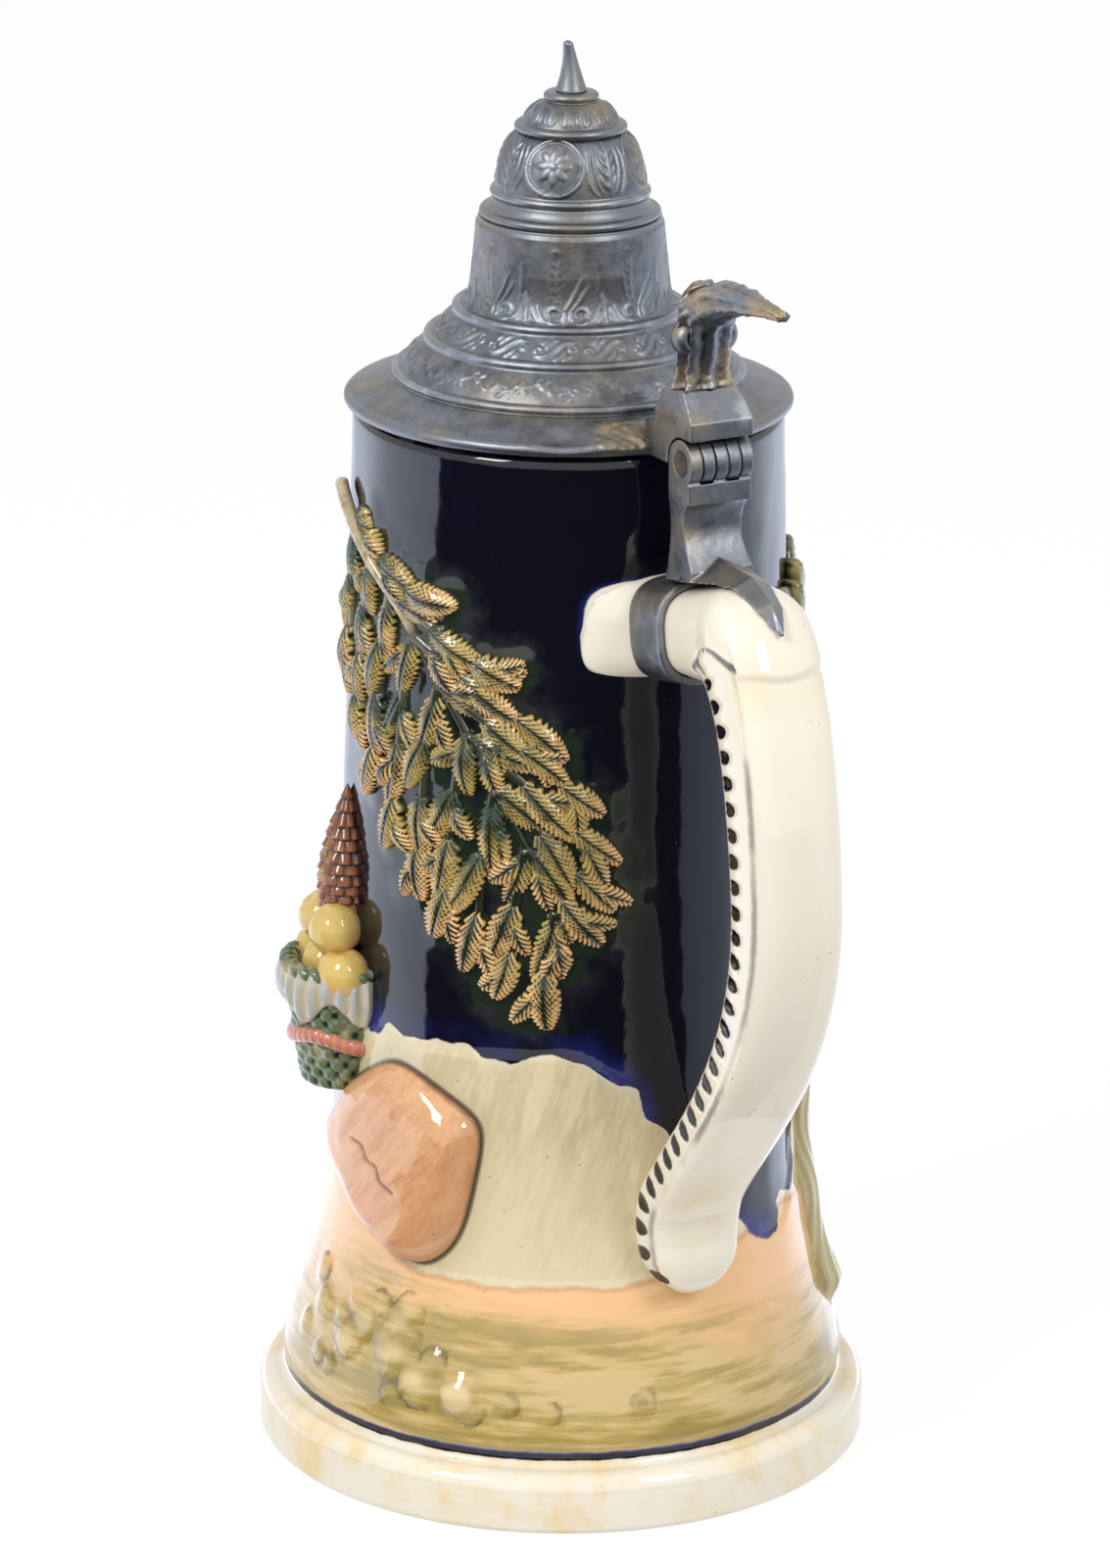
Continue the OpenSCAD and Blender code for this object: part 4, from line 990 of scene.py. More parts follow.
def build_handle():
    """Sweep of the rounded square along the path, pressed in by dots, a groove and a collar's slanting line.

    Its lower bend is smoothed along the path, and its roots widen and stop just under the wall's face."""
    v, h = settings("vessel"), settings("handle")
    fine = np.linspace(0, END_U, 4000)
    run = run_along(handle_path(fine)[0])
    distance = np.linspace(0, run[-1], HANDLE_ROWS)
    u = np.interp(distance, run, fine)
    around = ring(HANDLE_COLUMNS)
    points, across, out = handle_rings(u, np.zeros_like(u), around)
    width, thick, _ = handle_section(u)
    level = out / thick[:, None]
    bend = ease(level / 0.6 + 0.3) * (ease((u - 2.2) / 0.4) * ease((3.7 - u) / 0.3))[:, None]
    points += bend[..., None] * (moving_mean(moving_mean(points, 13), 13) - points)
    first, last = np.interp([DOTS_FROM_U, DOTS_TO_U], fine, run)
    count = round((last - first) / h.dot_pitch)
    along = (distance - first) / (last - first) * count
    nearest = np.clip(np.round(along), 0, count)
    step = ((along - nearest) * (last - first) / count)[:, None]
    inset = out + thick[:, None] - h.dot_inset
    on_side = ease((np.abs(across) / width[:, None] - 0.80) / 0.12)
    dot = np.hypot(step, inset * 0.6) - h.dot_radius + (1 - on_side) * h.dot_radius * 2
    from_middle = np.clip(dot + h.dot_radius, 0, None) / h.dot_radius
    press = h.dot_depth * np.sqrt(np.clip(1 - from_middle ** 2, 0, 1))
    grip = ease((u - 1.10) / 0.12)[:, None]
    groove = np.abs(out - thick[:, None] + 3.1 * MM) + (1 - on_side) * 3 * MM + (1 - grip) * 3 * MM
    slant = COLLAR_SLANT * np.clip((level + 0.48) / 1.25, 0, 1) ** 0.85
    slant = slant + 1.6 * MM * swell(across / width[:, None]) * ease(level)
    past = distance[:, None] - np.interp(COLLAR_STEP_U, fine, run) + 3 * MM - slant
    leg = np.hypot(np.clip(np.abs(past - COLLAR_LEG) - COLLAR_LEG, 0, None), (level + 0.42) * thick[:, None])
    collar = np.minimum(np.abs(past), leg) + 2.5 * MM * (1 - on_side)
    press = press + 0.35 * MM * swell(groove / (0.8 * MM)) + 0.5 * MM * swell(collar / (0.9 * MM))
    inward = np.stack([across * 0, np.sign(across), across * 0], -1)
    full = np.minimum(1, np.abs(across) / (0.5 * width[:, None]))
    points = points - inward * press[..., None] * full[..., None]
    overhang = COLLAR_STEP * ease(past / (1.2 * MM)) * (1 - ease(past / (14 * MM))) * ease(level)
    centre = handle_path(u)[0][:, None]
    shrink = overhang / np.maximum(np.abs(out), MM)
    points[..., [0, 2]] -= (points[..., [0, 2]] - centre) * shrink[..., None]
    gap = np.hypot(points[..., 0], points[..., 1]) - wall_radius(points[..., 2])
    flare = ROOT_FLARE * np.clip(1 - gap / ROOT_REACH, 0, 1) ** 2 * (u < 0.6)[:, None]
    spread = np.stack([0 * across, across, out], -1)
    points += flare[..., None] * spread / np.linalg.norm(spread, axis=-1, keepdims=True)
    seat = wall_radius(points[..., 2]) - v.key_depth
    points[..., 0] = np.maximum(points[..., 0], np.sqrt(np.clip(seat ** 2 - points[..., 1] ** 2, 0, None)))
    gap = np.hypot(points[..., 0], points[..., 1]) - wall_radius(points[..., 2])
    fields = {"dot": dot, "groove": groove, "collar": collar, "wall_gap": gap}
    surface = Surface(capped(points), **{name: ends(value) for name, value in fields.items()})
    return make_piece("handle_glazed", [surface], handle_glaze(), "tankard", "cream_glaze", "handle")


def handle_glaze():
    """Cream glaze with ink in the dots, a brown line in the grooves and a blue seam at the wall."""
    c = settings("glaze")

    def paint(n, specks):
        place = n.place()
        cloud = n.fade(n.noise(place, 38.0, 4.0, 0.6), 0.48, 0.78)
        cream = n.lay(c.cream, c.cream_warm, cloud, 0.45)
        ragged = n.sway(place, 420.0, 3.0, 0.6)
        broken = n.fade(n.noise(place, 60.0, 3.0), 0.36, 0.62)
        rub = n.times(n.fade(n.plus(ragged, 0.9 * MM, n.field("groove")), 1.1 * MM, 0.2 * MM), broken)
        cream = n.lay(cream, (0.24, 0.16, 0.15), rub, 0.7)
        collar = n.fade(n.plus(ragged, 0.5 * MM, n.field("collar")), 1.0 * MM, 0.35 * MM)
        cream = n.lay(cream, (0.06, 0.045, 0.06), collar, 0.85)
        dot = n.fade(n.plus(ragged, 0.7 * MM, n.field("dot")), 0.15 * MM, -0.25 * MM)
        cream = n.mix(dot, cream, c.ink)
        seam = n.fade(n.plus(ragged, 0.5 * MM, n.field("wall_gap")), 0.6 * MM, 0.1 * MM)
        cream = n.lay(cream, (0.24, 0.20, 0.15), seam, 0.35)
        return n.lay(cream, (0.10, 0.07, 0.05), specks, 0.6)
    return glaze("cream_handle_glaze", paint, 0.5)


# Hinge

WORN_DENT = 0.04 * MM


def build_strap():
    """Band round the arm: the handle's ring grown by the gap, with a rounded square for its own section."""
    h = settings("handle")
    first, last = strap_span()
    edge = ring(28)
    u = (first + last) / 2 + (last - first) / 2 * power(np.cos(edge), 0.22)
    grow = h.mount_gap + h.strap_thickness / 2 + h.strap_thickness / 2 * power(np.sin(edge), 0.35)
    rings, _, _ = handle_rings(u, grow, ring(120))
    rings = rings + 0.06 * MM * ripple(rings, 7 * MM, 5)[..., None]
    surface = Surface(rings, loop_rows=True, raised=0.72)
    metal = pewter("strap_pewter", 0.55)
    return make_piece("strap_worn", [surface], metal, "tankard", "pewter", "handle_strap")


def vectors_of(mesh, key):
    """Vectors of a mesh's points under a key."""
    values = np.empty(len(mesh.vertices) * 3, np.float32)
    mesh.vertices.foreach_get(key, values)
    return values.reshape(-1, 3).astype(float)


def worn_copy(name, node, body, material):
    """Merged copy of a solid, remeshed in small voxels, smoothed and dented so that its edges are worn."""
    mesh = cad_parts[node].data.copy()
    bm = bmesh.new()
    bm.from_mesh(mesh)
    bmesh.ops.remove_doubles(bm, verts=bm.verts, dist=SAME_POINT)
    bm.to_mesh(mesh)
    bm.free()
    scratch = bpy.data.objects.new("scratch", mesh)
    bpy.context.scene.collection.objects.link(scratch)
    remesh = scratch.modifiers.new("Voxels", "REMESH")
    remesh.mode, remesh.voxel_size = "VOXEL", settings("lid").wear
    smooth = scratch.modifiers.new("Wear", "SMOOTH")
    smooth.factor, smooth.iterations = 0.5, 3
    worn = bpy.data.meshes.new_from_object(scratch.evaluated_get(bpy.context.evaluated_depsgraph_get()))
    bpy.data.objects.remove(scratch)
    worn.name = name
    points = vectors_of(worn, "co")
    dent = WORN_DENT * (ripple(points, 7 * MM, 8) + 0.35 * ripple(points, 2.3 * MM, 9))
    dented = points + vectors_of(worn, "normal") * dent[:, None]
    worn.vertices.foreach_set("co", dented.astype(np.float32).ravel())
    add_field(worn, "raised", 0.58 + 0.2 * ripple(points, 9 * MM, 10))
    worn.shade_smooth()
    return place_piece(name, worn, material, body, "pewter", node)


def build_hinge():
    """Strap, shank and leaf with worn edges; the pin keeps its solid."""
    build_strap()
    dull = pewter("hinge_pewter", 0.4, brown="ochre")
    worn_copy("shank_worn", "hinge_shank", "tankard", dull)
    worn_copy("leaf_worn", "hinge_leaf", "lid", dull)
    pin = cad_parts["hinge_pin"]
    pin.data.materials.clear()
    pin.data.materials.append(dull)


# Lid

BASE_COLUMNS, CROWN_COLUMNS, KNOP_COLUMNS = 560, 400, 72
FLANGE_RUB, RING_RUB = 0.36, 0.74
BOTH_SIDES = (1, -1)


def stroke(points, width, height, even=False):
    """Stroke of ornament: places with a width and a height that swell in the middle, unless it is even."""
    t = np.linspace(0, 1, len(points))
    shape = np.ones_like(t) if even else 0.25 + 0.75 * np.sin(np.pi * t) ** 0.7
    return np.column_stack([points * MM, width * MM * shape, height * (0.6 + 0.4 * shape)])


def bows(rows, sides=(1,)):
    """Strokes along curves, on one side or on both: a row has start, pull, stop, points, width and height."""
    return [stroke(bow(*row[:4]) * [side, 1], *row[4:]) for side in sides for row in rows]


def curl(x, y, start, stop, outer, inner, count=36):
    """Spiral about a place from an outer radius to an inner one."""
    a = np.radians(np.linspace(start, stop, count))
    r = np.linspace(outer, inner, count)
    return np.stack([x + r * np.cos(a), y + r * np.sin(a)], -1)


def pressed(x, y, pitch, strokes):
    """Height of round-backed strokes at each place, the highest where they cross; x repeats at the pitch."""
    height = np.zeros(np.broadcast(x, y).shape)
    for s in strokes:
        across = (x[..., None] - s[:, 0] + pitch / 2) % pitch - pitch / 2
        gap = (across ** 2 + (y[..., None] - s[:, 1]) ** 2) / s[:, 2] ** 2
        height = np.maximum(height, (s[:, 3] * np.sqrt(np.clip(1 - gap, 0, 1))).max(-1))
    return height


def sprig_band():
    """Flowering sprig for the lower band: a five-petalled flower between two leafy stems."""
    strokes = [stroke(line((0, 3.4), (1.7 * math.cos(a), 3.4 + 1.7 * math.sin(a)), 9), 0.55, 0.8)
               for a in np.radians(90 + 72 * np.arange(5))]
    strokes.append(stroke(line((0, 3.4), (0.05, 3.4), 2), 0.7, 1.0, even=True))
    for side in BOTH_SIDES:
        stem = bow((1.4, 3.4), (3.6, 3.4 + 2.6 * side), (6.0, 3.4 - 0.6 * side), 26) * [side, 1]
        strokes.append(stroke(stem, 0.36, 0.7))
        for share, rise in ((0.35, 1), (0.55, -1), (0.75, 1), (0.95, -1)):
            root = stem[int(share * 25)]
            pull, tip = root + np.array([side * 0.3, 1.1 * rise]), root + np.array([side * 1.3, 1.25 * rise])
            strokes += bows([(root, pull, tip, 12, 0.5, 0.8)])
    return strokes, 14, -20


def scroll_band():
    """Running scroll for the upper band: an S with a curl at each end and slanting leaf blades."""
    lower, upper = bow((-3.9, 1.5), (-2.2, 0.4), (0, 2.9), 22), bow((0, 2.9), (2.2, 5.4), (3.9, 4.3), 22)
    strokes = [stroke(np.concatenate([lower, upper]), 0.62, 1.0),
               stroke(curl(-3.6, 2.5, -110, 300, 1.05, 0.3), 0.36, 0.9),
               stroke(curl(3.6, 3.3, 70, 480, 1.05, 0.3), 0.36, 0.9)]
    blades = [(-1.8, 3.0, 1.5, 1.9), (-2.7, 3.9, 1.2, 1.2), (1.8, 2.8, -1.5, -1.9), (2.9, 1.8, -1.3, -1.2),
              (-0.6, 4.4, 0.9, 0.9), (0.7, 1.3, -0.8, -0.8)]
    strokes += bows([((x, y), (x + 0.1 * dx, y + 0.7 * dy), (x + dx, y + dy), 14, 0.48, 0.8)
                     for x, y, dx, dy in blades])
    return strokes, 16, -35


def lily_drum():
    """Slanting paired blades on the drum before a broad leaf in outline, over a row of curls at its foot."""
    strokes = bows([((-0.6, 3.2), (1.2, 5.6), (3.0, 10.2), 40, 0.50, 1.0),
                    ((0.5, 3.0), (2.4, 4.8), (4.3, 8.6), 40, 0.42, 0.9),
                    ((-0.8, 3.4), (-3.2, 6.2), (-1.6, 14.6), 44, 0.34, 0.55),
                    ((-1.6, 3.2), (-5.0, 7.0), (-3.6, 14.9), 44, 0.30, 0.5),
                    ((-3.6, 14.9), (-2.6, 15.8), (-1.6, 14.6), 16, 0.30, 0.5),
                    ((5.0, 3.2), (6.6, 7.0), (5.6, 13.6), 40, 0.28, 0.45),
                    ((7.5, 1.0), (7.5, 3.0), (7.0, 6.6), 24, 0.7, 0.9)])
    for y in (5.6, 7.4, 9.2, 11.0, 12.8):
        strokes += [stroke(line((-2.4, y - 0.9), (-3.6, y + 0.5), 10), 0.26, 0.45),
                    stroke(line((-2.2, y - 0.9), (-1.6, y + 0.6), 10), 0.26, 0.45)]
    strokes += bows([((3.9, 0.9), (5.6, 1.5), (6.4, 4.2), 24, 0.5, 0.8),
                     ((0.3, 0.8), (1.0, 1.9), (0.4, 3.2), 16, 0.45, 0.8),
                     ((5.3, 0.9), (7.0, 1.8), (7.2, 3.6), 20, 0.36, 0.7),
                     ((1.6, 0.6), (2.8, 0.4), (3.8, 1.0), 16, 0.36, 0.7)], BOTH_SIDES)
    coil = curl(2.9, 2.4, 200, -160, 1.6, 0.45, 44)
    return strokes + [stroke(coil * [side, 1], 0.42, 0.9) for side in BOTH_SIDES], 8, -30


def rosette_crown():
    """Four oval frames round the crown, each with a rosette, and a tall acanthus leaf between neighbours."""
    around = np.radians(np.linspace(0, 360, 90))
    oval = np.stack([6.0 * np.cos(around), 6.9 + 6.1 * np.sin(around)], -1)
    strokes = [stroke(oval, 0.36, 0.8, even=True), stroke(oval * 0.88 + [0, 0.83], 0.2, 0.5, even=True),
               stroke(line((0, 6.9), (0.05, 6.9), 2), 0.9, 1.0, even=True)]
    for k in range(8):
        a = math.radians(45 * k)
        tip = (3.3 * math.cos(a), 6.9 + 3.6 * math.sin(a))
        strokes.append(stroke(line((0.9 * math.cos(a), 6.9 + math.sin(a)), tip, 16), 0.85, 0.8))
    leaf = [((8.6, 0.9), (5.4, 3.4), (7.2, 12.6), 40, 0.42, 0.8),
            ((9.8, 0.9), (7.0, 5.0), (8.4, 12.8), 40, 0.36, 0.7)]
    leaf += [((10.9, y), (9.8, y + 0.6), (9.0, y + 2.6), 18, 0.46, 0.85) for y in (2.2, 4.4, 6.6, 8.8)]
    strokes += bows(leaf, BOTH_SIDES) + bows([((11.0, 0.8), (11.0, 6), (11.0, 12.4), 44, 0.55, 1.0)])
    return strokes, 4, -43


def leaf_cap():
    """Short upright leaves round the cap, each with two side veins."""
    strokes = [stroke(line((0, 0.9), (0, 4.8), 24), 0.75, 1.0)]
    return strokes + bows([((0.3, 0.8), (1.4, 1.6), (0.9, 3.8), 18, 0.34, 0.7)], BOTH_SIDES), 16, -35


def turned_piece(name, parts, columns, material, nodes, bend=0.0, dents=None, loop=True):
    """Cast ring or cap: outlines turned about the axis and raised along their normals by pressed ornament.

    Each part is an outline with its ornament, or a number for how bright it is rubbed. A bend leans the piece
    over as the square of its height."""
    outline = np.concatenate([points for points, _ in parts])
    keep = fresh(outline)
    points, turn = lathe(outline, columns)
    slope = np.gradient(outline, axis=0)
    if loop:
        slope[[0, -1]] = outline[[1, 0]] - outline[[-1, -2]]
    normal = np.stack([slope[:, 1], -slope[:, 0]], -1)
    normal /= np.maximum(np.linalg.norm(normal, axis=1, keepdims=True), 1e-9)
    height, raised = np.zeros(points.shape[:2]), np.full(points.shape[:2], 0.5)
    start = 0
    for part, ornament in parts:
        rows = slice(start, start + len(part))
        start += len(part)
        if isinstance(ornament, float):
            raised[rows] = ornament
        elif ornament:
            strokes, repeats, origin = ornament
            run = run_along(part)
            pitch = part[:, 0].mean() * FULL_TURN / repeats
            around = (turn[None] - math.radians(origin)) * pitch * repeats / FULL_TURN
            relief = pressed(around + 0 * run[:, None], run[:, None] + 0 * turn, pitch, strokes)
            height[rows] = relief * settings("lid").ornament
            raised[rows] = 0.34 + 0.36 * relief
    solder = np.zeros_like(height)
    if dents is not None:
        bump, solder = dents(points, turn)
        height = height + bump
    height = height + 0.05 * MM * ripple(points, 9 * MM, 21)
    height[outline[:, 0] < MM] = 0
    points = points + lathe(normal, columns)[0] * height[..., None]
    rise = (points[..., 2] - outline[:, 1].min()) / np.ptp(outline[:, 1])
    points[..., 1] += bend * rise ** 2
    surface = Surface(points[keep], loop_rows=loop, raised=raised[keep], solder=solder[keep])
    return make_piece(name, [surface], material, "lid", "pewter", *nodes)


def solder_dents(points, turn):
    """Rough solder on the flange beside the hinge: seeded lumps in a soft-edged patch, and a dent by it."""
    lid, v = settings("lid"), settings("vessel")
    radius, z = np.hypot(points[..., 0], points[..., 1]), points[..., 2]
    edge = v.rim_radius + lid.flange_over
    top = ease((z - v.body_height - lid.lid_gap - 0.9 * MM) / (0.8 * MM))
    patch = near_turn(turn, -14, 11) ** 0.6 * ease((radius - edge + 9 * MM) / (3 * MM))
    lumps = 0.9 + 0.5 * ripple(points, 6.1 * MM, 31) - 0.35 * np.abs(ripple(points, 3.1 * MM, 32))
    lumps = lumps + 0.35 * ripple(points, 1.7 * MM, 33)
    dent = near_turn(turn, -31, 8) * swell((radius - edge + 3 * MM) / (5 * MM))
    tongue = near_turn(turn, -40, 40) * swell((radius - edge + 9.5 * MM) / (3 * MM))
    return MM * top * (patch * lumps - 0.6 * dent), np.clip(1.1 * patch * top + 0.5 * tongue, 0, 1)


def build_lid():
    """Flange and tiers, drum, crown and finial, each turned from its own outline."""
    lid, v = settings("lid"), settings("vessel")
    b = lid.bead
    lid_z, flange_r = v.body_height + lid.lid_gap, v.rim_radius + lid.flange_over
    tier_z = lid_z + lid.flange_rise
    ridge_z = tier_z + lid.tier_height
    drum_z = ridge_z + lid.second_height + 2 * b
    crown_z = drum_z + lid.drum_height
    cap_z = crown_z + lid.crown_height
    finial_z = cap_z + lid.cap_height
    edge = lid.flange_thickness / 2
    hollow, neck = lid.tier_radius - lid.shell, lid.drum_radius - lid.shell
    metal, dark = pewter("lid_pewter", 0.45), pewter("crown_pewter", 0.6)
    under = [(neck, drum_z), (neck, drum_z - 2 * MM), (lid.ridge_radius - 2 * lid.shell, tier_z + lid.shell),
             (hollow, lid_z + lid.shell), (hollow, lid_z), (flange_r - edge, lid_z)]
    base = [(arc((flange_r - edge, lid_z + edge), edge, -90, 90, 14), None),
            (line((flange_r - edge, lid_z + 2 * edge), (lid.tier_radius + b, tier_z), 26)[1:], FLANGE_RUB),
            (arc((lid.tier_radius, tier_z + b), b, -60, 110, 10), RING_RUB),
            (bow((lid.tier_radius - b, tier_z + 2 * b),
                 ((lid.tier_radius + lid.ridge_radius) / 2 + 0.6 * MM, (tier_z + ridge_z) / 2 + b),
                 (lid.ridge_radius, ridge_z), 26), sprig_band()),
            (arc((lid.ridge_radius - b, ridge_z + b), b, -30, 100, 9), RING_RUB),
            (bow((lid.ridge_radius - 2 * b, ridge_z + 2 * b),
                 ((lid.ridge_radius + lid.drum_foot_radius) / 2 - b, (ridge_z + drum_z) / 2),
                 (lid.drum_foot_radius, drum_z - 2 * b), 22), scroll_band()),
            (arc((lid.drum_foot_radius - b, drum_z - b), b, -30, 90, 9), RING_RUB)]
    base += [(line(p, q, 3), None) for p, q in zip(under, under[1:])]
    turned_piece("lid_base_cast", base, BASE_COLUMNS, metal, ["lid_base"], dents=solder_dents)
    foot, seam = (lid.drum_foot_radius - 2 * b, drum_z), lid.drum_radius - 0.7 * MM
    waist = (lid.drum_radius + 0.5 * MM, drum_z + lid.drum_height / 2)
    side = [bow(foot, (lid.drum_radius + 0.4 * MM, drum_z + 1.5 * MM), waist, 34),
            line(waist, (lid.drum_radius - 0.2 * MM, crown_z - 1.2 * MM), 24)[1:]]
    drum = [(np.concatenate(side), lily_drum()),
            (line((seam, crown_z - 0.6 * MM), (seam, crown_z), 3), None),
            (line((seam, crown_z), (neck, crown_z), 3), None),
            (line((neck, crown_z), (neck, drum_z), 5), None),
            (line((neck, drum_z), foot, 3), None)]
    turned_piece("lid_drum_cast", drum, CROWN_COLUMNS, metal, ["lid_drum"])
    inner, bell_z = lid.crown_radius - lid.shell, crown_z + 6 * MM
    roof = (lid.cap_radius - lid.shell - MM, cap_z - lid.shell - 2 * MM)
    crown = [(line((0, cap_z - lid.shell), roof, 4), None),
             (line(roof, (inner, crown_z), 6)[1:], None),
             (line((inner, crown_z), (lid.drum_radius - 2 * b, crown_z), 3)[1:], None),
             (arc((lid.drum_radius - 2 * b, crown_z + b), b, -90, 90, 10), None),
             (bow((lid.drum_radius - 2.5 * b, crown_z + 2 * b),
                  (lid.crown_radius + 0.6 * MM, crown_z + 2 * b + 0.6 * MM),
                  (lid.crown_radius + 0.4 * MM, bell_z - 2 * b), 8), None),
             (arc((lid.crown_radius, bell_z - b), b, -90, 90, 10), RING_RUB),
             (bow((lid.crown_radius, bell_z), (lid.crown_radius - 0.8 * MM, cap_z - 4 * MM),
                  (lid.cap_radius, cap_z - 2 * b), 50), rosette_crown()),
             (arc((lid.cap_radius - 0.2 * MM, cap_z - b), b, -90, 90, 9), None),
             (bow((lid.cap_radius - b, cap_z), (lid.cap_radius - 2 * MM, cap_z + lid.cap_height / 2),
                  (lid.collar_radius, finial_z - 2 * b), 22), leaf_cap()),
             (arc((lid.collar_radius - b, finial_z - b), b, -60, 90, 8), None),
             (line((lid.collar_radius - b, finial_z), (0, finial_z), 4)[1:], None)]
    turned_piece("lid_crown_cast", crown, CROWN_COLUMNS, dark, ["lid_crown"], loop=False)
    blunt = 1.1 * MM
    tip_z = finial_z + lid.finial_height - blunt
    knop = [(line((0, finial_z), (lid.finial_radius, finial_z), 4), None),
            (bow((lid.finial_radius, finial_z + 0.3 * MM),
                 (blunt + 0.5 * MM, finial_z + lid.finial_height * 0.45), (blunt, tip_z), 26), None),
            (arc((0, tip_z), blunt, 0, 90, 8), None)]
    turned_piece("finial_cast", knop, KNOP_COLUMNS, metal, ["finial"], bend=-lid.finial_bend, loop=False)


# Thumblift

def tube(path, half_width, half_thick, columns, flutes):
    """Oval tube along a path in X and Z: width along Y, thickness along the normal, both scaled by flutes."""
    a = ring(columns)
    scale = flutes(a)
    across, out = half_width[:, None] * np.cos(a) * scale, half_thick[:, None] * np.sin(a) * scale
    normal = left_of(unit(np.gradient(path, axis=0)))
    flat = path[:, None] + normal[:, None] * out[..., None]
    return np.stack([flat[..., 0], across, flat[..., 1]], -1)


LIFT_ROWS, LIFT_COLUMNS = 120, 72
LIFT_WIDTHS = [(0, 6.2), (0.1, 5.8), (0.3, 5.5), (0.8, 5.4), (1.25, 5.8),
               (1.5, 5.0), (1.75, 3.2), (1.9, 2.0), (2, 1.0)]
LIFT_THICKS = [(0, 3.6), (0.1, 3.1), (0.3, 2.9), (0.8, 3.4), (1.2, 4.0),
               (1.5, 3.9), (1.75, 2.6), (1.9, 1.7), (2, 1.0)]


def lift_stem(foot, knee, tip, size):
    """Fluted stem that bends out into a pointed, lobed leaf: one cubic to the knee and one on to the tip."""
    u = np.linspace(0, 2, LIFT_ROWS)
    rise, reach = (np.clip(u - start, 0, 1)[:, None] for start in (0, 1))
    crest = foot + [settings("lid").lift_reach * 0.36, size + 0.8 * MM]
    stem = cubic(rise, foot, foot + [0, 0.2 * size], knee - [0, 0.2 * size], knee)
    leaf = cubic(reach, knee, knee + [0, 0.3 * size], crest - [5 * MM, 0], tip)
    path = np.where(u[:, None] <= 1, stem, leaf)
    lobes = 1 + 0.14 * np.abs(np.sin(np.pi * 4.0 * np.clip(u - 1.15, 0, 1))) * ease((u - 1.15) / 0.1)
    width, thick = (np.interp(u, *np.array(table).T) * MM for table in (LIFT_WIDTHS, LIFT_THICKS))
    fade = ease((1.5 - u) / 0.4)[:, None]

    def flutes(a):
        return 1 + 0.13 * fade * np.cos(8 * a) + 0.10 * (1 - fade) * np.cos(5 * a)
    rings = tube(path, width * lobes, thick, LIFT_COLUMNS, flutes)
    rough = 0.22 * MM * ripple(rings, 3.4 * MM, 41) + 0.12 * MM * ripple(rings, 1.2 * MM, 42)
    ribs = 0.5 + 2.2 * (flutes(ring(LIFT_COLUMNS)) - 1)
    return Surface(capped(rings + rough[..., None]), raised=ends(ribs))


def lift_petal(foot, side):
    """Petal curled in a spiral beside the stem."""
    a, s = ring(24), np.linspace(0, 1, 60)
    turn = np.radians(-100 + 420 * s)
    spiral = (2.6 - 1.9 * s)[:, None] * MM * np.stack([np.cos(turn), np.sin(turn)], -1)
    body = (1.7 - 0.5 * s)[:, None] * MM
    x = foot[0] + 0.6 * MM + 1.6 * body * np.sin(a)
    y = side * 3.4 * MM + side * spiral[:, :1] + body * np.cos(a) * np.cos(turn)[:, None] * side
    z = foot[1] + 10.5 * MM + spiral[:, 1:] + body * np.cos(a) * np.sin(turn)[:, None]
    return Surface(capped(np.stack([x, y, z], -1)), raised=0.35 + 0.25 * np.sin(a))


def lift_crest(knee, size):
    """Ribbed crest behind the leaf, thick in the middle."""
    s = np.linspace(0, 1, 60)[:40]
    back = bow(knee + [-1.2 * MM, 2 * MM], knee + [-4.2 * MM, 7.5 * MM], knee + [1.6 * MM, size * 0.50], 40)
    thick = np.sin(np.pi * (0.1 + 0.86 * s / s[39])) ** 0.7
    rings = tube(back, 3.8 * MM * thick * (1 + 0.18 * np.cos(22 * s)), 2.4 * MM * thick, 32,
                 lambda a: 1 + 0.12 * np.cos(6 * a))
    return Surface(capped(rings + 0.15 * MM * ripple(rings, 2 * MM, 43)[..., None]), raised=0.4)


def build_thumblift():
    """Fluted stem that bends out into a pointed leaf, with a curled petal on each side and a crest behind."""
    lid = settings("lid")
    low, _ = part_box("thumblift")
    size = lid.lift_height
    foot = np.array([low.x + 3.5 * MM, low.z])
    knee, tip = foot + [0.8 * MM, size * 0.52], foot + [lid.lift_reach, size]
    petals = [lift_petal(foot, side) for side in (-1, 1)]
    surfaces = [lift_stem(foot, knee, tip, size), *petals, lift_crest(knee, size)]
    metal = pewter("brown_pewter", 0.85, brown="ochre")
    return make_piece("thumblift_cast", surfaces, metal, "lid", "brown_pewter", "thumblift")


# Mounds on the wall

def spread_on_wall(turn, z, way, along, across, out):
    """Points at distances along a heading and across it from a root on the wall, and out from the wall."""
    dx = along * np.sin(way) + across * np.cos(way)
    dz = -along * np.cos(way) + across * np.sin(way)
    return on_wall(turn + dx / wall_radius(z), z + dz, out)


def closed_mound(front, across, close):
    """Heights and widths of a mound closed at its ends, with two columns more for its back in the wall."""
    edge = -settings("vessel").key_depth * np.ones_like(front[..., :1])
    out = edge + (np.concatenate([front, edge, edge], -1) - edge) * close
    return out, np.concatenate([across, across[..., -1:], across[..., :1]], -1) * (close > 0)


def mound_field(values, like):
    """Values on a mound's front, 0 on its back."""
    return np.pad(values + 0 * like, [(0, 0), (0, 0), (0, 2)])


# Fir boughs

FROND_ROWS, FROND_COLUMNS = 46, 13
NEEDLE_PITCH = 1.3 * MM


